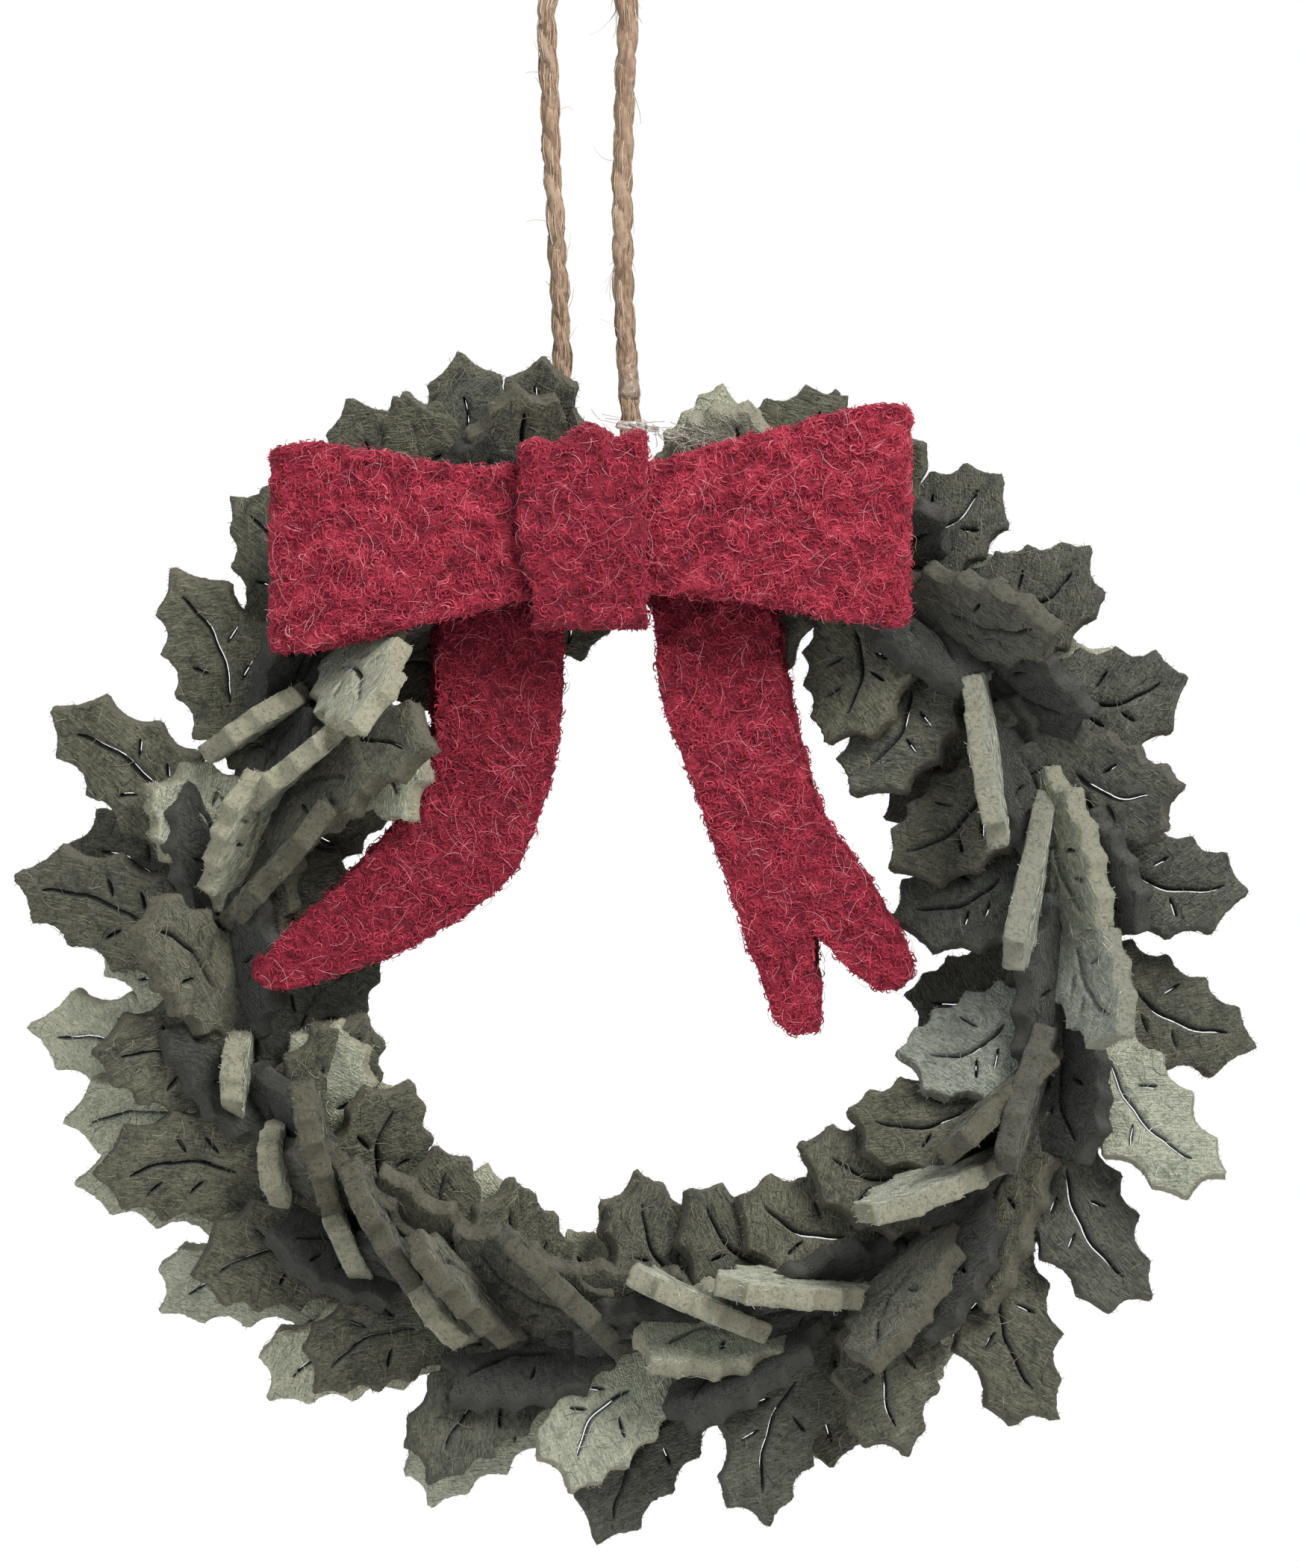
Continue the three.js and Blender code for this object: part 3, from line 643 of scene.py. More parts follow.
def kept_near(lines, tree, reach):
    """The lines, with the points that stray further than this from a surface drawn back towards it."""
    points = lines.reshape(-1, 3)
    feet = np.array([tree.find_nearest(point)[0] for point in points.tolist()])
    gap = np.linalg.norm(points - feet, axis=1, keepdims=True)
    return (feet + (points - feet) * np.minimum(1, reach / np.maximum(gap, 1e-6))).reshape(lines.shape)


def random_units(count, rng):
    return unit(rng.normal(size=(count, 3)))


def tangents_on(normals, rng):
    return unit(np.cross(normals, rng.normal(size=normals.shape)))


def taper(steps, thin_end=0.4):
    """How a fibre thins out towards its end."""
    share = np.linspace(0, 1, steps)
    return 1 - (1 - thin_end) * share**2


# Flat pieces cut from sheet


def distance_to(points, loops):
    """The distance from each point to the nearest of the closed loops."""
    nearest = np.full(len(points), np.inf)
    for loop in loops:
        start, end = loop, np.roll(loop, -1, axis=0)
        edge = end - start
        offset = points[:, None] - start
        share = np.clip(np.sum(offset * edge, axis=2) / np.sum(edge * edge, axis=1), 0, 1)
        gap = np.linalg.norm(offset - share[:, :, None] * edge, axis=2)
        nearest = np.minimum(nearest, gap.min(axis=1))
    return nearest


def inside(points, loop):
    x, y = points[:, 0:1], points[:, 1:2]
    x0, y0 = loop.T
    x1, y1 = np.roll(loop, -1, axis=0).T
    crosses = (y0 > y) != (y1 > y)
    slope = (x1 - x0) / np.where(y1 == y0, 1e-12, y1 - y0)
    return (np.sum(crosses & (x < x0 + (y - y0) * slope), axis=1) % 2).astype(bool)


def loop_normals(loop):
    """Directions out of the material along a loop that keeps the material on its left."""
    ahead = unit(np.roll(loop, -1, axis=0) - np.roll(loop, 1, axis=0))
    return np.stack([ahead[:, 1], -ahead[:, 0]], axis=1)


# How a cut edge bulges: share of its radius outward, share of the half thickness upward
EDGE_PROFILE_SHARES = [(0.6, 0.92), (0.9, 0.6), (1, 0.2), (1, -0.2), (0.9, -0.6), (0.6, -0.92)]
ROW_SPACING_SHARE = 0.87
GRID_JITTER_SHARE = 0.22
EDGE_MARGIN_SHARE = 0.5


def slab(outline, slits, half_thickness, step, edge_radius, rough, rng):
    """A flat piece with slits: points, triangles, and 1 on its cut edges and -1 deep in its slits.

    The outline runs anticlockwise. A slit runs clockwise, there and back along one line."""

    def solid(places):
        return inside(places, outline) & ~np.any([inside(places, slit) for slit in slits], axis=0)

    loops = [outline] + slits
    low, high = outline.min(axis=0), outline.max(axis=0)
    rows, columns = np.arange(low[1], high[1], step * ROW_SPACING_SHARE), np.arange(low[0], high[0], step)
    grid = [(x + (k % 2) * step / 2, y) for k, y in enumerate(rows) for x in columns]
    grid = np.array(grid) + rng.uniform(-GRID_JITTER_SHARE, GRID_JITTER_SHARE, (len(grid), 2)) * step
    grid = grid[solid(grid) & (distance_to(grid, loops) > step * EDGE_MARGIN_SHARE)]
    flat = np.vstack(loops + [grid])
    edges, start = [], 0
    for loop in loops:
        ring = np.arange(start, start + len(loop))
        edges += list(zip(ring.tolist(), np.roll(ring, -1).tolist()))
        start += len(loop)
    found = geometry.delaunay_2d_cdt([tuple(p) for p in flat], edges, [], 1, 1e-7)
    back = np.array([origin[0] for origin in found[3]])
    faces = back[np.array(found[2])]
    faces = faces[solid(flat[faces].mean(axis=1))]
    number = len(flat)
    level = np.full((number, 1), half_thickness)
    points = [np.hstack([flat, level]), np.hstack([flat, -level])]
    triangles = [faces, faces[:, ::-1] + number]
    cut = [np.zeros(2 * number)]
    count, start = 2 * number, 0
    for loop in loops:
        size = len(loop)
        rings = [np.arange(start, start + size)]
        if loop is outline:
            mark, layers = 1, []
            for out_share, height_share in EDGE_PROFILE_SHARES:
                edge = loop + loop_normals(loop) * out_share * edge_radius
                layer = np.hstack([edge, np.full((size, 1), height_share * half_thickness)])
                layers.append(layer + rng.normal(0, rough, layer.shape))
        else:
            narrowed = loop + SLIT_CLOSING_SHARE * ((loop + loop[::-1]) / 2 - loop)
            mark, layers = -1, [np.hstack([narrowed, np.zeros((size, 1))])]
        for layer in layers:
            points.append(layer)
            cut.append(np.full(size, mark))
            rings.append(np.arange(count, count + size))
            count += size
        rings.append(np.arange(start + number, start + number + size))
        for upper, lower in zip(rings, rings[1:]):
            upper_next, lower_next = np.roll(upper, -1), np.roll(lower, -1)
            triangles.append(np.stack([upper, lower, lower_next], axis=1))
            triangles.append(np.stack([upper, lower_next, upper_next], axis=1))
        start += size
    return np.vstack(points), np.vstack(triangles), np.concatenate(cut)


# Materials


def colour(text):
    """A colour written as in a picture, such as #5c5e52, for a shader."""
    values = np.array([int(text[k : k + 2], 16) for k in (1, 3, 5)]) / 255
    linear = np.where(values > 0.04045, ((values + 0.055) / 1.055) ** 2.4, values / 12.92)
    return (*linear.tolist(), 1.0)


class Shader:
    """A material and its nodes, made one at a time."""

    def __init__(self, name, roughness):
        self.material = bpy.data.materials.new(name)
        self.material.use_nodes = True
        self.tree = self.material.node_tree
        self.surface = self.tree.nodes["Principled BSDF"]
        self.surface.inputs["Roughness"].default_value = roughness

    def put(self, socket, value):
        if isinstance(value, bpy.types.NodeSocket):
            self.tree.links.new(value, socket)
        else:
            socket.default_value = value

    def node(self, kind, inputs, output=0, **settings):
        made = self.tree.nodes.new("ShaderNode" + kind)
        for key, value in settings.items():
            setattr(made, key, value)
        for key, value in inputs.items():
            self.put(made.inputs[key], value)
        return made.outputs[output]

    def attribute(self, name, output=2):
        return self.node("Attribute", {}, output, attribute_name=name)

    def noise(self, place, size, detail=3, roughness=0.55):
        """Noise over a place in millimetres."""
        inputs = {"Vector": place, "Scale": 1 / size, "Detail": detail, "Roughness": roughness}
        return self.node("TexNoise", inputs)

    def streaks(self, place, angle, size, stretch):
        """Noise drawn out into streaks in one direction."""
        inputs = {"Vector": place, "Rotation": (0, 0, angle), "Scale": (1, stretch, stretch)}
        return self.noise(self.node("Mapping", inputs), size, 2)

    def between(self, value, low, high, top=1.0):
        return self.node("MapRange", {"Value": value, "From Min": low, "From Max": high, "To Max": top})

    def mix(self, factor, first, second, blend="MIX"):
        made = self.tree.nodes.new("ShaderNodeMix")
        made.data_type = "RGBA"
        made.blend_type = blend
        self.put(made.inputs[0], factor)
        self.put(made.inputs[6], first)
        self.put(made.inputs[7], second)
        return made.outputs[2]

    def ramp(self, value, *stops):
        made = self.tree.nodes.new("ShaderNodeValToRGB")
        self.put(made.inputs[0], value)
        elements = made.color_ramp.elements
        while len(elements) < len(stops):
            elements.new(0.5)
        for element, (position, text) in zip(elements, stops):
            element.position = position
            element.color = colour(text)
        return made.outputs[0]

    def paint(self, base, settings):
        """Set the colour, and plain values of the surface."""
        self.put(self.surface.inputs["Base Color"], base)
        for name, value in settings.items():
            self.surface.inputs[name].default_value = value

    def bump(self, height, depth):
        """Relief of so many millimetres."""
        inputs = {"Height": height, "Distance": depth * MM, "Strength": 1.0}
        self.put(self.surface.inputs["Normal"], self.node("Bump", inputs))


def felt_material(name, low, high, streak, shade, cut):
    shader = Shader(name, roughness=0.95)
    place = shader.attribute("place", 1)
    cloud = shader.noise(place, size=0.9, detail=6, roughness=0.7)
    base = shader.mix(shader.between(cloud, 0.36, 0.64), colour(low), colour(high))
    fine = shader.streaks(place, angle=0.4, size=1.5, stretch=9)
    layers = [
        (shader.noise(place, size=5), 0.4, 0.7, 0.35, streak),
        (fine, 0.55, 0.68, 0.6, streak),
        (shader.streaks(place, angle=1.5, size=1.3, stretch=8), 0.56, 0.68, 0.5, streak),
        (shader.streaks(place, angle=2.5, size=1.2, stretch=7), 0.56, 0.7, 0.65, shade),
        (shader.noise(place, size=0.38, detail=2), 0.56, 0.7, 0.75, shade),
    ]
    for pattern, start, full, strength, text in layers:
        base = shader.mix(shader.between(pattern, start, full, strength), base, colour(text))
    grain = shader.noise(place, size=0.28, detail=2)
    crumbs = shader.noise(place, size=0.55, detail=5, roughness=0.8)
    edge = shader.mix(shader.between(crumbs, 0.46, 0.58, 0.8), colour(cut), base)
    edge = shader.mix(shader.between(crumbs, 0.55, 0.66, 0.6), edge, colour(shade))
    base = shader.mix(shader.attribute("cut"), base, edge)
    tone = shader.attribute("tone")
    # Painted shade is tinted cool and painted light warm: the tint follows the tone, which is partly random
    # felt and partly painted light and shade
    tint = shader.mix(shader.between(tone, 0.8, 1.2), colour("#f3f7ff"), colour("#fffaee"))
    base = shader.mix(1.0, shader.mix(1.0, base, tone, "MULTIPLY"), tint, "MULTIPLY")
    shader.paint(base, {"Sheen Weight": 0.15, "Specular IOR Level": 0.2})
    height = shader.mix(0.4, shader.mix(0.5, cloud, fine), grain)
    shader.bump(shader.mix(shader.attribute("cut"), height, crumbs), depth=1.3)
    return shader.material


def fibre_material(name, *stops):
    shader = Shader(name, roughness=0.8)
    shader.paint(shader.ramp(shader.attribute("tone"), *stops), {"Specular IOR Level": 0.25})
    return shader.material


def plush_material():
    shader = Shader("plush", roughness=0.9)
    place = shader.attribute("place", 1)
    tangle = shader.noise(place, size=0.45, detail=4, roughness=0.7)
    stops = (0, "#5c1524"), (0.45, "#8a2336"), (0.8, "#ac3448"), (1, "#c04659")
    # The tone is painted light: paler on high nubs, darker between them and on the shaded band and tails
    base = shader.ramp(shader.attribute("tone"), *stops)
    base = shader.mix(shader.between(tangle, 0.35, 0.65, 0.7), base, colour("#6c1a2a"))
    # Brighter streaks: painted highlight on the curls
    bright = shader.streaks(place, angle=0.8, size=1.1, stretch=5)
    base = shader.mix(shader.between(bright, 0.55, 0.66, 0.6), base, colour("#c33a4e"))
    shader.paint(base, {"Sheen Weight": 0.3, "Sheen Tint": colour("#e08090"), "Specular IOR Level": 0.2})
    shader.bump(tangle, depth=0.5)
    return shader.material


def twine_material():
    shader = Shader("jute", roughness=0.8)
    place = shader.attribute("place", 1)
    strands = shader.noise(place, size=0.3, detail=4, roughness=0.7)
    # The tone's dark end is painted shade in the ply's grooves, its pale end painted light on the ridges
    base = shader.ramp(shader.attribute("tone"), (0, "#6d5a48"), (0.5, "#987f69"), (1, "#b9a18c"))
    base = shader.mix(shader.between(strands, 0.4, 0.7, 0.4), base, colour("#8b7460"))
    shader.paint(base, {})
    shader.bump(strands, depth=0.15)
    return shader.material


def cloudy_material(name, roughness, low, high, size, depth, settings, detail=3, spread=0.15):
    """Two colours mixed by noise, which is also the relief."""
    shader = Shader(name, roughness)
    cloud = shader.noise(shader.attribute("place", 1), size, detail)
    base = shader.mix(shader.between(cloud, 0.5 - spread, 0.5 + spread), colour(low), colour(high))
    shader.paint(base, settings)
    shader.bump(cloud, depth)
    return shader.material


FELT = {
    "dark": felt_material("felt_dark", "#2f322d", "#585b50", "#7f8071", "#1b1d1b", "#6c6a5a"),
    "pale": felt_material("felt_pale", "#7f877c", "#a9afa1", "#c9ccbe", "#626a5f", "#bcbba8"),
}
FELT_FIBRE = {
    "dark": fibre_material(
        "felt_dark_fibre", (0, "#1f201c"), (0.35, "#45473e"), (0.7, "#716f60"), (1, "#9a9482")
    ),
    "pale": fibre_material(
        "felt_pale_fibre", (0, "#5d645a"), (0.35, "#8d9487"), (0.7, "#bcc0b1"), (1, "#dddccd")
    ),
}
PLUSH = plush_material()
PLUSH_FIBRE = fibre_material(
    "plush_fibre", (0, "#6a1a2a"), (0.3, "#962a3e"), (0.55, "#b73a50"), (0.8, "#cc5466"), (1, "#eaa8b0")
)
JUTE = twine_material()
JUTE_FIBRE = fibre_material(
    "jute_fibre", (0, "#705c49"), (0.4, "#9b826b"), (0.75, "#b9a28d"), (1, "#dccdbc")
)
WIRE = cloudy_material("wire", 0.35, "#8d8f90", "#b5b6b6", 0.5, 0.02, {"Metallic": 0.9}, 4, 0.2)
CLEAR = {"Transmission Weight": 0.6, "IOR": 1.45}
GLUE = cloudy_material("glue", 0.25, "#bfb4ae", "#ece5e0", 0.8, 0.15, CLEAR)
SOAKED_GLUE = cloudy_material("glue_in_twine", 0.25, "#a58c74", "#d9c6b2", 0.8, 0.15, CLEAR)


# Cord


def smooth_curve(points, step):
    """A centripetal Catmull-Rom curve through the points, with points a step apart."""
    route = np.vstack([2 * points[0] - points[1], points, 2 * points[-1] - points[-2]])
    pieces = []
    for first, start, end, last in zip(route, route[1:], route[2:], route[3:]):
        chord = end - start
        before, span, after = (math.sqrt(np.linalg.norm(gap)) for gap in (start - first, chord, last - end))
        into = ((start - first) / before - (end - first) / (before + span) + chord / span) * span
        out = (chord / span - (last - start) / (span + after) + (last - end) / after) * span
        t = np.linspace(0, 1, 24, endpoint=False)[:, None]
        bend, end_bend = 3 * chord - 2 * into - out, into + out - 2 * chord
        pieces.append(start + into * t + bend * t**2 + end_bend * t**3)
    return resampled(np.vstack(pieces + [points[-1:]]), step, closed=False)


def twine_line():
    drop = np.array([0, 0, TWINE_DIAMETER / 2])
    return smooth_curve(np.array(TWINE_ROUTE, float) - drop, TWINE_STEP)


def add_ply(shape, line, across, up, distance, phase, rng):
    """One twisted ply of the twine, and the loose fibres that run along it."""
    centre = line + PLY_OFFSET * on_circle(phase - 2 * np.pi * distance / TWINE_PITCH, across, up)
    middle = distance[-1] / 2
    swell = PLY_SWELL * smoothstep(distance, middle - SWELL_REACH, middle + SWELL_REACH)
    shifted = np.stack([distance + 40 * phase, 0 * distance, 0 * distance], axis=1)
    radii_along = PLY_RADIUS * (1 + swell + PLY_UNEVENNESS * noise(shifted, UNEVENNESS_SIZE, 13))
    points, triangles = tubes(centre[None], radii_along[None], PLY_SIDES)
    normals = point_normals(points, triangles)
    along = np.repeat(distance, PLY_SIDES)
    around = np.tile(full_turn(PLY_SIDES), len(line)) + along * GROOVE_TWIST
    ring = GROOVES_AROUND * np.stack([np.cos(around), np.sin(around)], axis=1)
    relief = noise(np.column_stack([ring, along * GROOVE_TWIST + phase]), 1, 11)
    points = points + normals * (GROOVE_DEPTH * relief + FLUFF_DEPTH * noise(points, 0.5, 12))[:, None]
    # Painted shade in the grooves and painted light on the ridges: the tone follows the relief
    shape.add(points, triangles, 0.2 + 0.6 * smoothstep(relief, -0.7, 0.7))
    _, ply_across, ply_up = (values[0] for values in frames_along(centre[None]))
    steps = 16
    lines, radii = [], []
    for _ in range(int(PLY_FIBRES * FIBRE_SHARE)):
        reach = rng.uniform(*PLY_FIBRE_LENGTHS)
        start = rng.uniform(0.5, distance[-1] - reach - 0.5)
        places = np.linspace(start, start + reach, steps)
        turn = rng.uniform(0, 2 * np.pi) + (places - start) * rng.normal(0.22, 0.08)
        lift = np.interp(places, distance, radii_along) + rng.uniform(-0.03, 0.07)
        lift += 0.05 * rng.normal(size=steps)
        if rng.random() < LIFTED_END_PART:
            lift[-5:] += np.linspace(0, rng.uniform(*LIFTED_END_HEIGHTS), 5) ** 1.3
        here, side, top = (interpolated(places, distance, values) for values in (centre, ply_across, ply_up))
        lines.append(here + lift[:, None] * on_circle(turn, side, top))
        radii.append(rng.uniform(*PLY_FIBRE_RADII) * np.sin(np.linspace(0.25, 2.9, steps)))
    add_fibres(shape, np.array(lines), np.array(radii), rng.beta(1.6, 1.3, len(lines)), material=1)


def make_strays(line, rng):
    """The few long fibres that stand away from the twine."""
    steps = 12
    chosen = rng.integers(STRAY_MARGIN, len(line) - STRAY_MARGIN, STRAY_COUNT)
    tangent = unit(line[chosen + 1] - line[chosen - 1])
    headings = unit(tangent * rng.choice([-1, 1], STRAY_COUNT)[:, None] + 0.75 * tangents_on(tangent, rng))
    lines = curly_lines(line[chosen], headings, random_units(STRAY_COUNT, rng),
                        lengths=rng.uniform(*STRAY_LENGTHS, STRAY_COUNT),
                        curl_radii=rng.uniform(*STRAY_TURN_RADII, STRAY_COUNT),
                        steps=steps, wander=0.06, rng=rng)
    radii = rng.uniform(*STRAY_RADII, STRAY_COUNT)[:, None] * taper(steps)
    shape = Shape()
    add_fibres(shape, lines, radii, rng.uniform(0.4, 1, STRAY_COUNT))
    return make_piece("twine_strays", shape, [JUTE_FIBRE], "cord")


def blob(centre, radii, rough, rng, rows=28, columns=36):
    """A closed lumpy ball: points and triangles."""
    down = np.linspace(0.02, np.pi - 0.02, rows)[:, None, None]
    ball = (np.sin(down) * on_circle(full_turn(columns), RIGHT, -FRONT) + np.cos(down) * UP).reshape(-1, 3)
    shift = rng.uniform(-50, 50, 3)
    swell = 1 + rough * noise(ball * 2 + shift, 1, 21) + rough / 2 * noise(ball * 4 + shift, 1, 22)
    points = np.array(centre) + ball * swell[:, None] * radii
    fan = np.arange(1, columns - 1)
    caps = [np.stack([np.zeros_like(fan), fan, fan + 1], -1),
            np.stack([np.zeros_like(fan), fan + 1, fan], -1) + (rows - 1) * columns]
    return points, np.vstack([grid_triangles(numbered(rows, columns))] + caps)


def make_glue_cone(line):
    """Hardened glue round the cord's front strand: a thin film that thickens towards its lower end."""
    low, high = box_mm("glue_cone")
    low, high = low + GLUE_END_GAP, high - GLUE_END_GAP
    near = line[(line[:, 2] > low[2]) & (line[:, 2] < high[2]) & (line[:, 0] > low[0])]
    near = near[np.argsort(-near[:, 2])]
    share = np.linspace(0, 1, len(near))
    radii = GLUE_FILM_RADIUS + GLUE_DROP_HEIGHT * share**2
    radii[-3:] = GLUE_FILM_RADIUS + GLUE_DROP_HEIGHT * np.array([0.8, 0.3, -0.6])
    points, triangles = tubes(near[None], radii[None], 40)
    normals = point_normals(points, triangles)
    points = points + normals * (0.12 * noise(points, 1.3, 31) + 0.08 * noise(points, 0.6, 32))[:, None]
    shape = Shape()
    shape.add(points, triangles, 1.0)
    return make_piece("glue_sleeve", shape, [SOAKED_GLUE], "cord", ["glue_cone"])


def make_cord():
    rng = np.random.default_rng(3)
    line = twine_line()
    distance = np.concatenate([[0], np.cumsum(np.linalg.norm(np.diff(line, axis=0), axis=1))])
    _, across, up = (values[0] for values in frames_along(line[None]))
    shape = Shape()
    for phase in (0, np.pi):
        add_ply(shape, line, across, up, distance, phase, rng)
    twine = make_piece("jute_twine", shape, [JUTE, JUTE_FIBRE], "cord", ["hanging_twine"])
    pieces = [make_strays(line, rng), make_glue_cone(line)]
    path = [tuple(point) for point in (line[::4] * MM).tolist()]
    path[-1] = tuple((line[-1] * MM).tolist())


# Felt leaves


def hollow_edge(start, end, hollow_share):
    """The edge from one spine to the next, hollowed towards the leaf's inside on its left."""
    chord = end - start
    control = (start + end) / 2 + 2 * hollow_share * np.array([-chord[1], chord[0]])
    share = np.linspace(0, 1, 12, endpoint=False)[:, None]
    return (1 - share) ** 2 * start + 2 * share * (1 - share) * control + share**2 * end


def leaf_outline(length, rng):
    width = LEAF_HALF_WIDTH * rng.uniform(*LEAF_WIDTH_SHARES)

    def spines(shares, side):
        shifts = rng.uniform(-SPINE_JITTER_SHARE, SPINE_JITTER_SHARE, len(shares))
        stretches = rng.uniform(*SPINE_STRETCH_SHARES, len(shares))
        return [
            (side * across * width * stretch, (along + shift) * length)
            for (along, across), shift, stretch in zip(shares, shifts, stretches)
        ]

    clockwise = spines(CLOCKWISE_SPINE_SHARES, 1)
    other = spines(OTHER_SPINE_SHARES, -1)
    blunt = [(across * width, along * length) for across, along in BLUNT_TIP_SHARES]
    tip = blunt if rng.random() < BLUNT_TIP_PART else [(0, length)]
    corners = [(NECK_HALF_WIDTH, 0)] + clockwise + tip + other[::-1] + [(-NECK_HALF_WIDTH, 0)]
    corners = np.array(corners, float)
    beside_tip = len(clockwise), len(clockwise) + len(tip)
    hollows = [TIP_HOLLOW_SHARE if k in beside_tip else EDGE_HOLLOW_SHARE for k in range(len(corners) - 1)]
    stretches = [hollow_edge(*ends) for ends in zip(corners, corners[1:], hollows)]
    base = np.linspace(corners[-1], corners[0], 8, endpoint=False)
    fine = resampled(np.vstack(stretches + [base]), FINE_STEP)
    return resampled(softened(fine, 5), EDGE_STEP)


def slit_loop(line, half_width):
    """A narrow closed loop along a line, running clockwise."""
    ahead = unit(np.gradient(line, axis=0))
    left = np.stack([-ahead[:, 1], ahead[:, 0]], axis=1)
    share = np.linspace(-1, 1, len(line))[:, None]
    width = half_width * (0.35 + 0.65 * np.sqrt(1 - share**4))
    return np.vstack([line + left * width, (line - left * width)[::-1]])


def leaf_slits(outline, length, rng):
    low, high = (share * length for share in MIDRIB_SHARES)
    along = np.linspace(low, high + rng.uniform(-0.8, 0.3), 16)
    arc = MIDRIB_ARC * (1 - np.linspace(-1, 1, len(along)) ** 2) - MIDRIB_ARC / 2
    midrib = np.stack([arc + MIDRIB_WAVE * np.sin(along * 1.3), along], axis=1)
    slits = [slit_loop(midrib, SLIT_HALF_WIDTH * rng.uniform(0.8, 1.1))]
    for share, side in VEIN_SHARES:
        angle = math.radians(rng.uniform(*VEIN_ANGLES))
        heading = np.array([side * math.cos(angle), math.sin(angle)])
        start = np.array([side * VEIN_GAP, share * length + rng.uniform(-0.4, 0.4)])
        reach = np.linspace(0, VEIN_LENGTH * rng.uniform(0.85, 1.1), 5)[:, None]
        slits.append(slit_loop(start + heading * reach, SLIT_HALF_WIDTH * 0.8))
    return [
        slit for slit in slits
        if distance_to(slit, [outline]).min() > SLIT_CLEARANCE and inside(slit, outline).all()
    ]


def felt_fibres(points, triangles, cut, rng):
    """Fuzz on a felt piece: lines, their radii and their tone. Half of it stands on the cut edges."""
    on_edge = cut[triangles].max(axis=1)
    on_face = 1.001 - np.abs(cut[triangles]).max(axis=1)
    many = max(10, int(FUZZ_COUNT * FIBRE_SHARE))
    steps = 5
    leaf = bvhtree.BVHTree.FromPolygons(points.tolist(), triangles.tolist())
    places, normals, _ = surface_samples(points, triangles, on_edge + 1e-6, many, rng)
    tips = unit(normals + 0.9 * rng.normal(size=normals.shape))
    lengths = rng.uniform(*FUZZ_LENGTHS, many) * np.where(rng.random(many) < LONG_FUZZ_PART, 2, 1)
    edge = curly_lines(places - 0.1 * normals, tips, random_units(many, rng), lengths,
                       curl_radii=rng.uniform(*FUZZ_TURN_RADII, many), steps=steps, wander=0.12, rng=rng)
    edge_radii = rng.uniform(*FUZZ_RADII, many)[:, None] * taper(steps)
    places, normals, _ = surface_samples(points, triangles, on_face, many, rng)
    lying = curly_lines(places - 0.01 * normals, tangents_on(normals, rng) + 0.06 * normals, normals,
                        lengths=rng.uniform(*LYING_LENGTHS, many),
                        curl_radii=rng.choice([-1, 1], many) * rng.uniform(*LYING_TURN_RADII, many),
                        steps=steps, wander=0.05, rng=rng)
    edge, lying = kept_near(edge, leaf, FUZZ_REACH), kept_near(lying, leaf, LYING_REACH)
    lying_radii = rng.uniform(*LYING_RADII, many)[:, None] * np.sin(np.linspace(0.5, 2.7, steps))
    tone = np.concatenate([rng.uniform(0.3, 1, many), rng.beta(1.3, 1.3, many)])
    return np.concatenate([edge, lying]), np.concatenate([edge_radii, lying_radii]), tone


def felt_bumps(points, height):
    """Small shifts of the points in all directions, since felt is uneven."""
    return height * np.stack([noise(points, FELT_BUMP_SIZE, seed) for seed in (5, 6, 7)], axis=1)


def ring_directions(station):
    """Away from the ring's centre, and clockwise along the wire."""
    angle = math.radians(station)
    return math.cos(angle) * RIGHT + math.sin(angle) * UP, math.sin(angle) * RIGHT - math.cos(angle) * UP


def leaf_frame(station, roll, sweep, lean):
    """The leaf's own axes: sideways, to its tip, and out of its face. And where its neck starts."""
    outward, along = ring_directions(station)
    roll, sweep, lean = math.radians(roll), math.radians(sweep), math.radians(lean)
    away = math.cos(roll) * outward + math.sin(roll) * FRONT
    swept = math.cos(lean) * along + math.sin(lean) * np.cross(along, away)
    tipward = math.cos(sweep) * away + math.sin(sweep) * swept
    sideways = math.cos(sweep) * swept - math.sin(sweep) * away
    start = RING_CENTRE + RING_RADIUS * outward + NECK_START * away
    return np.stack([sideways, tipward, np.cross(sideways, tipward)]), start


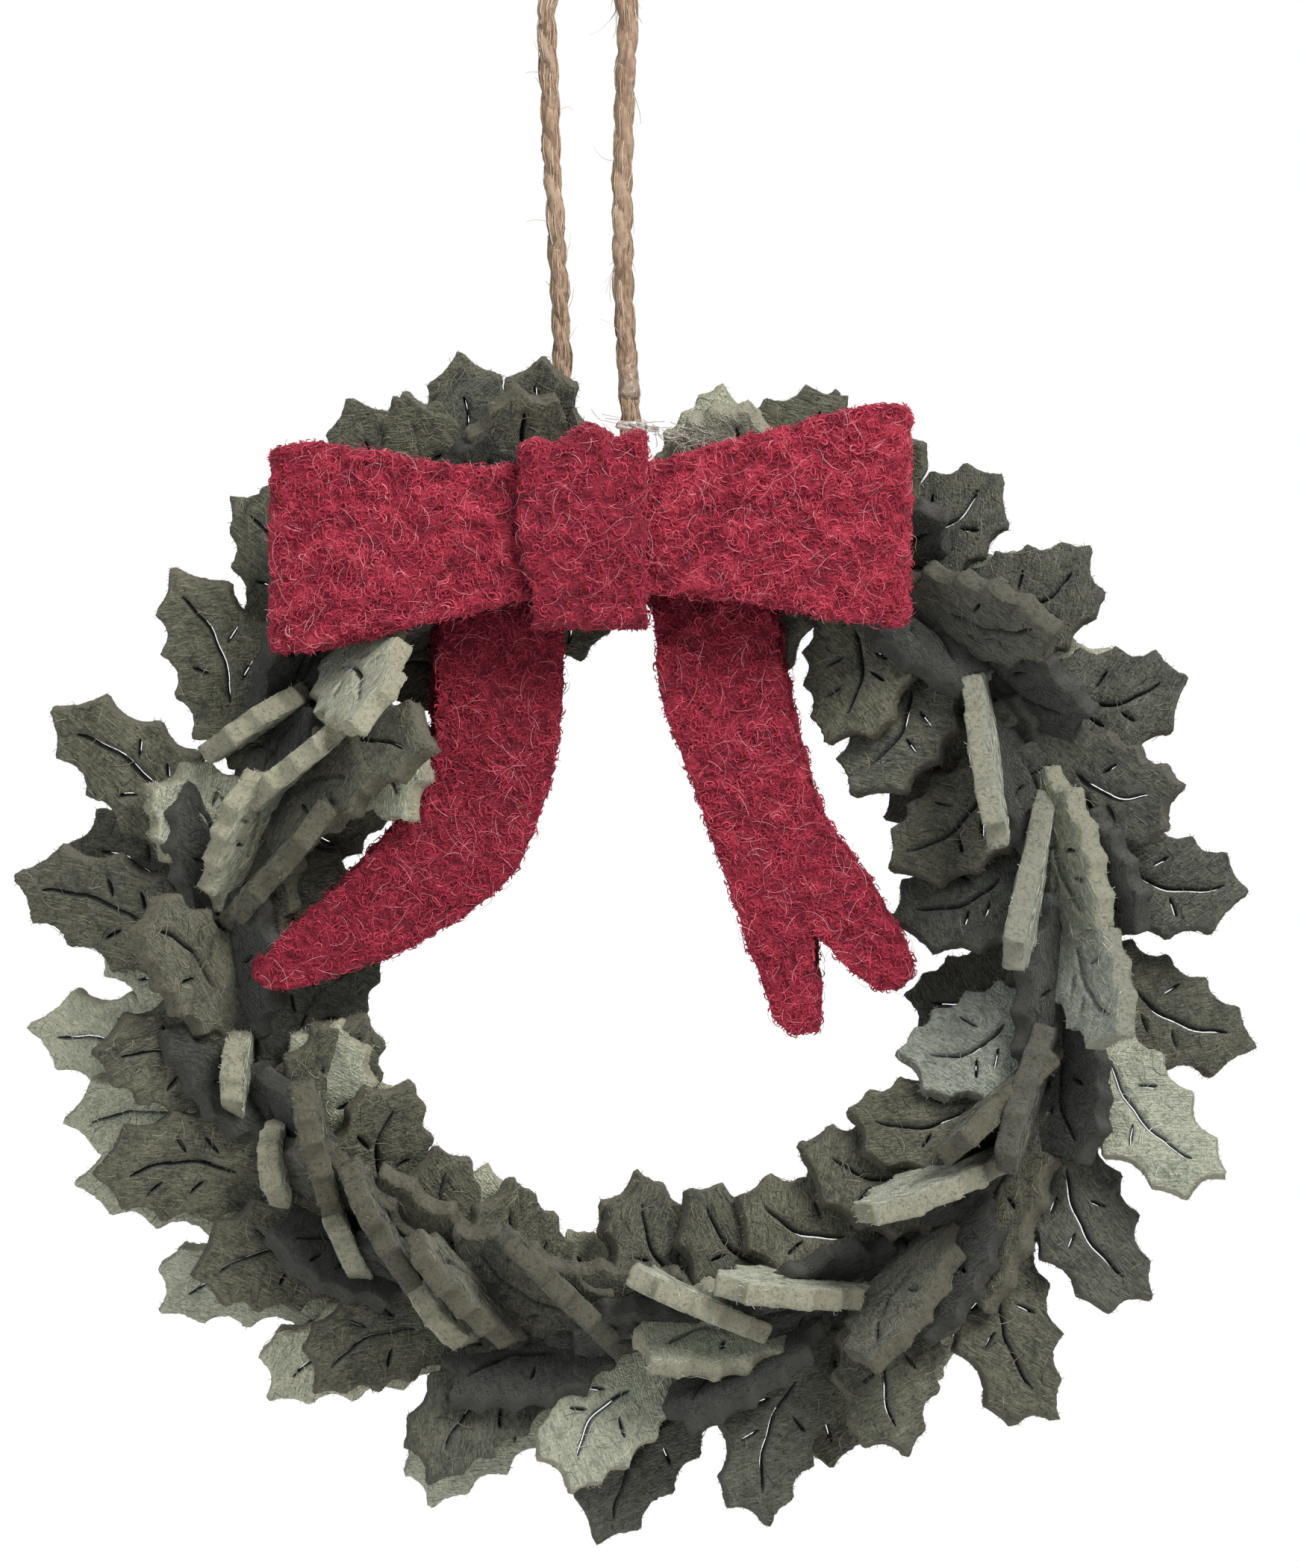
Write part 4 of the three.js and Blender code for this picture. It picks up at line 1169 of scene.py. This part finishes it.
def add_leaf(shape, station, leaf, tone, rng):
    roll, sweep, length_share, lean = leaf
    length = LEAF_LENGTH * length_share - NECK_START
    beside_cord = SWUNG_THROUGH[0] < station < SWUNG_THROUGH[1]
    outline = leaf_outline(length, rng)
    if beside_cord:
        outline[:, 0] *= SLIM_SHARE
    slits = leaf_slits(outline, length, rng)
    points, triangles, cut = slab(outline, slits, FELT_THICKNESS / 2, FELT_STEP, FELT_EDGE_RADIUS,
                                  FELT_EDGE_ROUGHNESS, rng)
    flat = points.copy()
    share = points[:, 1] / length
    bow, bend = MIDRIB_BOW, rng.uniform(-LEAF_BEND, LEAF_BEND)
    if beside_cord:
        bow, bend = 0, 0
    points[:, 0] += 4 * bow * share * (1 - share)
    cupping = rng.uniform(-LEAF_CUPPING, LEAF_CUPPING) * points[:, 0] ** 2
    points[:, 2] += bend * share**2 + cupping * share
    shift = rng.uniform(-PATTERN_SHIFT, PATTERN_SHIFT, 3)
    points[:, 2] += LEAF_WAVE * share * noise(flat * [1, 1, 0] + shift, LEAF_WAVE_SIZE, 3)
    points += felt_bumps(flat + shift, LEAF_BUMPS)
    pattern = turned(flat, UP, np.full(len(flat), rng.uniform(0, math.pi))) + shift
    axes, start = leaf_frame(station, roll, sweep, lean)
    world = start + points @ axes
    # The leaf's tone holds its painted light and shade, and the slits' walls are painted darker still:
    # painted shade
    shape.add(world, triangles, np.where(cut < 0, SLIT_PAINTED_SHADE, 1) * tone, pattern, np.maximum(cut, 0))
    lines, radii, fibre_tone = felt_fibres(world, triangles, cut, rng)
    add_fibres(shape, lines, radii, fibre_tone * tone, material=1)


def add_sleeve(shape, station, length, tone, rng):
    """The folded middle of a leaf, round the wire."""
    outward, along = ring_directions(station)
    end = length / 2
    bore, rim, flank = WIRE_RADIUS + SLEEVE_GAP, SLEEVE_RADIUS - SLEEVE_CHAMFER, end - SLEEVE_CHAMFER
    profile = np.array([
        (bore, -end), (rim, -end), (SLEEVE_RADIUS, -flank), (SLEEVE_RADIUS, flank), (rim, end), (bore, end),
    ])
    ring = on_circle(full_turn(24), outward, FRONT)
    points = RING_CENTRE + RING_RADIUS * outward + profile[:, None, :1] * ring + profile[:, None, 1:] * along
    triangles = grid_triangles(numbered(*points.shape[:2]), closed_rows=True)
    points = points.reshape(-1, 3)
    points += felt_bumps(points, SLEEVE_BUMPS)
    shape.add(points, triangles, tone, points + rng.uniform(-PATTERN_SHIFT, PATTERN_SHIFT, 3), cut=0.3)


def leaf_tone(station, rng):
    """The felt differs a little from leaf to leaf at random, and has painted light across the wreath: paler
    at the left, darker at the right, where the key light falls.
    """
    outward, _ = ring_directions(station)
    return LEAF_TONE - LEAF_PAINTED_LIGHT_ASIDE * outward[0] + rng.normal(0, LEAF_TONE_SPREAD)


def make_felt_piece(name, shape, felt, replaced=()):
    return make_piece(name, shape, [FELT[felt], FELT_FIBRE[felt]], "wreath", replaced)


def make_sprigs():
    for number, (station, felt, *leaves) in enumerate(SPRIGS, start=1):
        rng = np.random.default_rng(100 + number)
        shape = Shape()
        for leaf in leaves:
            add_leaf(shape, station, leaf, leaf_tone(station, rng), rng)
        # The sleeve is painted darker: painted shade round the wire
        add_sleeve(shape, station, SLEEVE_LENGTH, SLEEVE_PAINTED_SHADE * leaf_tone(station, rng), rng)
        make_felt_piece(f"felt_sprig_{number:02d}", shape, felt, [f"leaf_sprig_{number:02d}_{felt}"])


def make_loose_leaves():
    for number, (station, felt, *leaf) in enumerate(LOOSE_LEAVES, start=1):
        rng = np.random.default_rng(300 + number)
        shape = Shape()
        add_leaf(shape, station, leaf, leaf_tone(station, rng), rng)
        make_felt_piece(f"felt_loose_leaf_{number:02d}", shape, felt)


def make_fillers():
    stations = np.arange(FILLER_FIRST, FILLER_FIRST + 360 - FILLER_STEP / 2, FILLER_STEP)
    for number, station in enumerate(stations, start=1):
        roll, share = FILLER_ROLLS_AND_SHARES[number % len(FILLER_ROLLS_AND_SHARES)]
        if roll > 180 and SWUNG_THROUGH[0] < station < SWUNG_THROUGH[1]:
            continue
        rng = np.random.default_rng(500 + number)
        shape = Shape()
        roll += rng.uniform(-FILLER_TURN, FILLER_TURN)
        sweep = FILLER_SWEEP + rng.uniform(-FILLER_SWEEP_TURN, FILLER_SWEEP_TURN)
        share *= rng.uniform(0.9, 1.1)
        # Painted shade: the filler is painted much darker than the leaves round it
        tone = FILLER_PAINTED_SHADE * leaf_tone(station, rng)
        add_leaf(shape, station, (roll, sweep, share, 0), tone, rng)
        add_sleeve(shape, station, FILLER_SLEEVE_LENGTH, tone, rng)
        make_felt_piece(f"felt_filler_{number:02d}", shape, "dark")


# Wire ring


def make_ring():
    steps, sides = 240, 12
    outward = on_circle(full_turn(steps), RIGHT, UP)[:, None]
    section = WIRE_RADIUS * on_circle(full_turn(sides), outward, FRONT)
    points = (RING_CENTRE + RING_RADIUS * outward + section).reshape(-1, 3)
    triangles = grid_triangles(numbered(steps, sides), closed_rows=True)
    shape = Shape()
    shape.add(points, triangles, 1.0)
    make_piece("smooth_ring_wire", shape, [WIRE], "wreath", ["ring_wire"])


# Bow


def strip(normals, low_edges, high_edges, half, closed):
    """A band of cloth with round edges, from its low edge line to its high one: points and triangles."""
    width = np.linalg.norm(high_edges - low_edges, axis=1).max()
    flat = np.linspace(0, 1, round(width / PLUSH_STEP))
    bend = np.linspace(0, np.pi, 6)[1:-1]
    up = np.stack([flat, np.zeros_like(flat), np.ones_like(flat)], axis=1)
    over = np.stack([np.ones_like(bend), np.sin(bend), np.cos(bend)], axis=1)
    down = np.stack([flat[::-1], np.zeros_like(flat), -np.ones_like(flat)], axis=1)
    under = np.stack([np.zeros_like(bend), -np.sin(bend), -np.cos(bend)], axis=1)
    section = np.vstack([up, over, down, under])
    across = unit(high_edges - low_edges)
    low, high = low_edges + across * half, high_edges - across * half
    points = low[:, None] + (high - low)[:, None] * section[:, :1]
    points = points + across[:, None] * section[:, 1:2] * half + normals[:, None] * section[:, 2:] * half
    index = numbered(*points.shape[:2])
    triangles = [grid_triangles(index, closed_rows=closed)]
    points = points.reshape(-1, 3)
    if not closed:
        for row, flip in ((index[0], 1), (index[-1], -1)):
            middle = len(points)
            points = np.vstack([points, points[row].mean(axis=0)])
            fan = np.stack([np.full(len(row), middle), row, np.roll(row, -1)], axis=1)
            triangles.append(fan[:, ::flip])
    return points, np.vstack(triangles)


def facing_out(points, triangles):
    """The triangles, turned round where the closed shape is inside out."""
    a, b, c = (points[triangles[:, k]] for k in range(3))
    volume = np.sum(a * np.cross(b, c))
    return triangles if volume > 0 else triangles[:, ::-1]


def plush_shape(points, triangles, painted_brightness):
    """A cloth body with the nubs of boucle, and how high and bright each point is: painted highlight on the
    high nubs and painted shade between them, scaled by the piece's painted brightness.
    """
    triangles = facing_out(points, triangles)
    normals = point_normals(points, triangles)
    nubs = noise(points, 0.95, 41) + 0.4 * noise(points, 2.3, 42)
    height = NUB_HEIGHT * smoothstep(nubs, -0.9, 0.9) - NUB_SINK
    points = points + normals * height[:, None]
    # Painted highlight on the high nubs and painted shade between them
    tone = painted_brightness * smoothstep(nubs, -0.8, 0.9)
    shape = Shape()
    shape.add(points, triangles, tone)
    return shape, points, triangles, tone


def make_pile(name, points, triangles, tone, weights, amount, rng):
    """Curled wool strands on a cloth body, and long pale hairs, as a piece of their own.

    They lie flat, and are shorter where the cloth turns over at its edges."""
    count = int(amount * FIBRE_SHARE)
    cloth = bvhtree.BVHTree.FromPolygons(points.tolist(), triangles.tolist())
    places, normals, chosen = surface_samples(points, triangles, weights, count, rng)
    height = tone[triangles[chosen]].mean(axis=1)
    flatness = 0.3 + 0.7 * normals[:, 1] ** 2
    headings = tangents_on(normals, rng) + rng.uniform(0, 0.22, (count, 1)) * normals
    axes = unit(normals + 0.35 * rng.normal(size=normals.shape))
    steps = 6
    curls = curly_lines(places - 0.03 * normals, headings, axes,
                        lengths=flatness * rng.uniform(*PILE_LENGTHS, count),
                        curl_radii=rng.choice([-1, 1], count) * rng.uniform(*PILE_TURN_RADII, count),
                        steps=steps, wander=0.06, rng=rng)
    radii = rng.uniform(*PILE_RADII, count)[:, None] * np.sin(np.linspace(0.6, 2.7, steps))
    # The curls take the cloth's painted light and shade, with a random spread
    shade = np.clip(0.2 + 0.42 * height + rng.normal(0, 0.15, count), 0, 0.88)
    shape = Shape()
    add_fibres(shape, kept_near(curls, cloth, PILE_REACH), radii, shade)
    many = count // CURLS_TO_A_HAIR
    places, normals, _ = surface_samples(points, triangles, weights, many, rng)
    flatness = 0.12 + 0.88 * normals[:, 1] ** 2
    headings = tangents_on(normals, rng) + rng.uniform(0.03, 0.2, (many, 1)) * normals
    steps = 7
    hairs = curly_lines(places, headings, unit(normals + 0.3 * rng.normal(size=normals.shape)),
                        lengths=flatness * rng.uniform(*HAIR_LENGTHS, many),
                        curl_radii=rng.choice([-1, 1], many) * rng.uniform(*HAIR_TURN_RADII, many),
                        steps=steps, wander=0.05, rng=rng)
    radii = rng.uniform(*HAIR_RADII, many)[:, None] * taper(steps)
    add_fibres(shape, kept_near(hairs, cloth, HAIR_REACH), radii, rng.uniform(0.75, 1, many))
    return make_piece(name, shape, [PLUSH_FIBRE], "wreath")


def facing_away(points, triangles, centre):
    """1 for the triangles that face away from a place, and little for those that face it."""
    corners = points[triangles]
    towards = np.sum((corners.mean(axis=1) - centre) * face_normals(corners), axis=1)
    return np.where(towards > 0, 1, 0.12)


def edge_height(share, edge_shares, box_low, box_high):
    """The height of a loop's edge at a share of its reach, from listed shares."""
    table = np.array(edge_shares)
    value = np.interp(share, table[:, 0], table[:, 1])
    return box_low[2] + (box_high[2] - box_low[2]) * value


def make_loop(side, top_shares, bottom_shares, rng):
    """A loop of the bow: a band that leaves the middle, folds over outside and comes back behind."""
    node = f"bow_loop_{side}"
    low, high = box_mm(node)
    outward = 1 if side == "right" else -1
    inner, outer = (low[0], high[0]) if side == "right" else (high[0], low[0])
    half = PLUSH_THICKNESS / 2
    fold_depth = (low[1] + high[1]) / 2
    reach = abs(outer - inner) - half - half
    share = np.linspace(0, 1, round(reach / PLUSH_STEP))
    puff = half + LOOP_SLACK + LOOP_PUFF * np.sin(np.pi * np.clip(share * 1.15 - 0.15, 0, 1)) ** 0.8
    x = inner + outward * reach * share
    front = np.stack([x, fold_depth - puff, np.zeros_like(x)], axis=1)
    back = np.stack([x, fold_depth + puff, np.zeros_like(x)], axis=1)
    bend = np.linspace(0, np.pi, 14)[1:-1]
    fold = np.stack([x[-1] + outward * puff[-1] * np.sin(bend), fold_depth - puff[-1] * np.cos(bend),
                     np.zeros_like(bend)], axis=1)
    centres = np.vstack([front, fold, back[::-1]])
    reach_share = np.abs(centres[:, 0] - inner) / abs(outer - inner)
    behind = smoothstep(centres[:, 1], fold_depth - puff[-1], fold_depth + puff[-1])
    bottom = edge_height(reach_share, bottom_shares, low, high) + LOOP_BACK_LIFT * behind
    top = edge_height(reach_share, top_shares, low, high) - LOOP_BACK_DROP * behind
    tangent = unit(np.gradient(centres, axis=0))
    normals = np.cross(tangent, [0, 0, 1])
    low_edges, high_edges = centres.copy(), centres.copy()
    low_edges[:, 2], high_edges[:, 2] = bottom, top
    points, triangles = strip(normals, low_edges, high_edges, half, closed=False)
    shape, points, triangles, tone = plush_shape(points, triangles, 1.0)
    piece = make_piece(f"plush_loop_{side}", shape, [PLUSH], "wreath", [node])
    middles = points[triangles].mean(axis=1)
    inside_line = np.stack([middles[:, 0], np.full(len(middles), fold_depth), middles[:, 2]], axis=1)
    inside_line[:, 0] = np.clip(inside_line[:, 0], *sorted((inner, x[-1])))
    weights = facing_away(points, triangles, inside_line)
    names = [f"plush_loop_{side}_pile_{k}" for k in (1, 2)]
    pile = [make_pile(name, points, triangles, tone, weights, LOOP_PILE, rng) for name in names]


def make_band(rng):
    """The gathered band round the bow's middle, with three soft rolls down its front."""
    low, high = box_mm("bow_centre_band")
    half = BAND_THICKNESS / 2
    middle = (low + high) / 2
    deep, tall = (high - low)[1:] / 2 - half - CLOTH_SINK
    loop = on_circle(full_turn(400), np.array([deep, 0]), np.array([0, tall]))
    loop = np.clip(loop * 3, [-deep, -tall], [deep, tall])
    loop = resampled(softened(resampled(loop, FINE_STEP), BAND_SOFTENING), PLUSH_STEP)
    centres = middle + np.insert(loop, 0, 0, axis=1)
    ahead = unit(np.roll(centres, -1, axis=0) - np.roll(centres, 1, axis=0))
    normals = np.cross(ahead, [1, 0, 0])
    narrowing = BAND_NARROWING * smoothstep(centres[:, 2], middle[2] + tall * 0.2, middle[2] - tall)
    low_edges, high_edges = centres.copy(), centres.copy()
    low_edges[:, 0] = low[0] + BAND_INSET + narrowing
    high_edges[:, 0] = high[0] - BAND_INSET
    points, triangles = strip(normals, low_edges, high_edges, half, closed=True)
    triangles = facing_out(points, triangles)
    across = (points[:, 0] - low[0]) / (high[0] - low[0])
    down = (high[2] - points[:, 2]) / (high[2] - low[2])
    fall = [((across - centre_share) / BAND_ROLL_SHARE) ** 2 for centre_share, _ in BAND_ROLLS]
    crests = [height - BAND_ROLL_DEPTH * away for (_, height), away in zip(BAND_ROLLS, fall)]
    relief = -np.min(fall, axis=0) * (1 - 0.6 * smoothstep(down, 0.2, 0.8))
    points = points + BAND_FURROW_DEPTH * point_normals(points, triangles) * np.maximum(relief, -1)[:, None]
    points[:, 2] += np.max(crests, axis=0) * smoothstep(down, 0.2, 0.0)
    shape, points, triangles, tone = plush_shape(points, triangles, BAND_PAINTED_SHADE_BRIGHTNESS)
    piece = make_piece("plush_band", shape, [PLUSH], "wreath", ["bow_centre_band"])
    weights = facing_away(points, triangles, middle * [0, 1, 1] + points[triangles].mean(axis=1) * [1, 0, 0])
    pile = make_pile("plush_band_pile", points, triangles, tone, weights, CLOTH_PILE, rng)


def make_tail(side, ply, painted_brightness, outline_shares, rng):
    """One ply of a tail, which leans forward as it hangs down."""
    node = f"tail_{side}_{ply}"
    low, high = box_mm(node)
    inner = high[0] if side == "left" else low[0]
    reach = low[0] - high[0] if side == "left" else high[0] - low[0]
    shares = np.array(outline_shares)
    outline = np.stack([inner + reach * shares[:, 0], high[2] - (high[2] - low[2]) * shares[:, 1]], axis=1)
    outline = resampled(softened(resampled(outline, FINE_STEP), TAIL_SOFTENING), PLUSH_STEP)
    if side == "left":
        outline = outline[::-1]
    half = TAIL_THICKNESS / 2 - CLOTH_SINK
    flat, triangles, _ = slab(outline, [], half, PLUSH_STEP, TAIL_EDGE_RADIUS, TAIL_EDGE_ROUGHNESS, rng)
    down = (high[2] - flat[:, 1]) / (high[2] - low[2])
    lean = (high[1] - low[1]) - TAIL_THICKNESS
    depth = high[1] - TAIL_THICKNESS / 2 - lean * down + flat[:, 2]
    points = np.stack([flat[:, 0], depth, flat[:, 1]], axis=1)
    shape, points, triangles, tone = plush_shape(points, triangles, painted_brightness)
    piece = make_piece(f"plush_tail_{side}_{ply}", shape, [PLUSH], "wreath", [node])
    towards_seam = flat[:, 2] if ply == "front" else -flat[:, 2]
    weights = smoothstep(towards_seam, 0.6 * half, -0.1 * half)[triangles].mean(axis=1) + 0.01
    pile = make_pile(f"plush_tail_{side}_{ply}_pile", points, triangles, tone, weights, CLOTH_PILE, rng)


def make_bow():
    rng = np.random.default_rng(11)
    for side, top_shares, bottom_shares in LOOPS:
        make_loop(side, top_shares, bottom_shares, rng)
    make_band(rng)
    for side, painted_brightness, outline_shares in TAILS:
        for ply in ("back", "front"):
            make_tail(side, ply, painted_brightness, outline_shares, rng)


def add_glue_threads(shape, centre, spread, count, rng):
    """Fine threads of glue in the air and over the pieces round a place."""
    steps = 9
    starts = centre + rng.normal(size=(count, 3)) * spread / 2
    headings = rng.normal(size=(count, 3)) * spread
    lines = curly_lines(starts, headings, random_units(count, rng),
                        lengths=rng.uniform(*THREAD_LENGTHS, count),
                        curl_radii=rng.uniform(*THREAD_TURN_RADII, count),
                        steps=steps, wander=0.15, rng=rng)
    radii = np.repeat(rng.uniform(*THREAD_RADII, (count, 1)), steps, axis=1)
    add_fibres(shape, lines, radii, np.ones(count))


def make_glue():
    """The dab that holds the bow, and what was smeared and drawn out of it on the band's top."""
    rng = np.random.default_rng(17)
    low, high = box_mm("glue_dab")
    dab = Shape()
    dab.add(*blob((low + high) / 2, (high - low) / 2 * 0.95, 0.12, rng), 1.0)
    make_piece("glue_pad", dab, [GLUE], "wreath", ["glue_dab"])
    band_low, band_high = box_mm("bow_centre_band")
    top = np.array([band_high[0] - GLUE_SMEAR_INSET, band_low[1] + GLUE_SMEAR_DEPTH, band_high[2]])
    smear = Shape()
    for aside, up, wide, tall in GLUE_SMEARS:
        radii = np.array([wide, GLUE_SMEAR_HALF_DEPTH, tall])
        smear.add(*blob(top + [aside, 0, up], radii, 0.6, rng, rows=16, columns=24), 1.0)
    for place, spread, count in GLUE_THREADS:
        add_glue_threads(smear, top + place, np.array(spread), count, rng)
    make_piece("glue_smear", smear, [GLUE], "wreath")


# Light, floor and background


def make_world():
    """White where the camera or a reflection sees it, and a dim light on everything else."""
    world = bpy.data.worlds.new("studio")
    bpy.context.scene.world = world
    world.use_nodes = True
    tree = world.node_tree
    background = tree.nodes["Background"]
    rays = tree.nodes.new("ShaderNodeLightPath")
    seen = rays.outputs["Is Camera Ray"]
    for name in ("Is Glossy Ray", "Is Transmission Ray"):
        either = tree.nodes.new("ShaderNodeMath")
        either.operation = "MAXIMUM"
        tree.links.new(seen, either.inputs[0])
        tree.links.new(rays.outputs[name], either.inputs[1])
        seen = either.outputs[0]
    strength = tree.nodes.new("ShaderNodeMapRange")
    strength.inputs["To Min"].default_value = WORLD_STRENGTH
    tree.links.new(seen, strength.inputs["Value"])
    tree.links.new(strength.outputs[0], background.inputs["Strength"])
    background.inputs["Color"].default_value = (1, 1, 1, 1)


def facing_back_along(away):
    """The rotation of a lamp that shines back along this direction."""
    x, y, z = away / np.linalg.norm(away)
    return (math.acos(z), 0, math.atan2(y, x) + math.pi / 2)


def make_light(name, offset, size, power, tint):
    """A square lamp that looks at the wreath, so many millimetres away from its centre."""
    data = bpy.data.lights.new(name, "AREA")
    data.size = size * MM
    data.energy = power
    data.color = tint
    lamp = bpy.data.objects.new(name, data)
    away = np.array(offset, float)
    lamp.location = (RING_CENTRE + away) * MM
    lamp.rotation_euler = facing_back_along(away)
    bpy.context.scene.collection.objects.link(lamp)


def make_floor():
    """A wide round floor below the picture, which throws light back."""
    rng = np.random.default_rng(7)
    sides = 96
    circle = on_circle(full_turn(sides), RIGHT, -FRONT)
    points = (FLOOR_RADIUS * np.array(FLOOR_RING_SHARES)[:, None, None] * circle).reshape(-1, 3)
    points += [0, 0, cad_box[0][2] / MM - FLOOR_DROP]
    points += rng.normal(0, FLOOR_UNEVENNESS, points.shape)
    triangles = grid_triangles(numbered(len(FLOOR_RING_SHARES), sides))
    shader = Shader("floor", roughness=0.9)
    shader.paint(colour("#efeeec"), {})
    shape = Shape()
    shape.add(points, triangles, 1.0)
    make_object("floor", shape, [shader.material])


make_camera()
make_cord()
make_sprigs()
make_loose_leaves()
make_fillers()
make_ring()
make_bow()
make_glue()
make_world()
for light in LIGHTS:
    make_light(*light)
make_floor()
bpy.context.scene.view_settings.view_transform = "Standard"
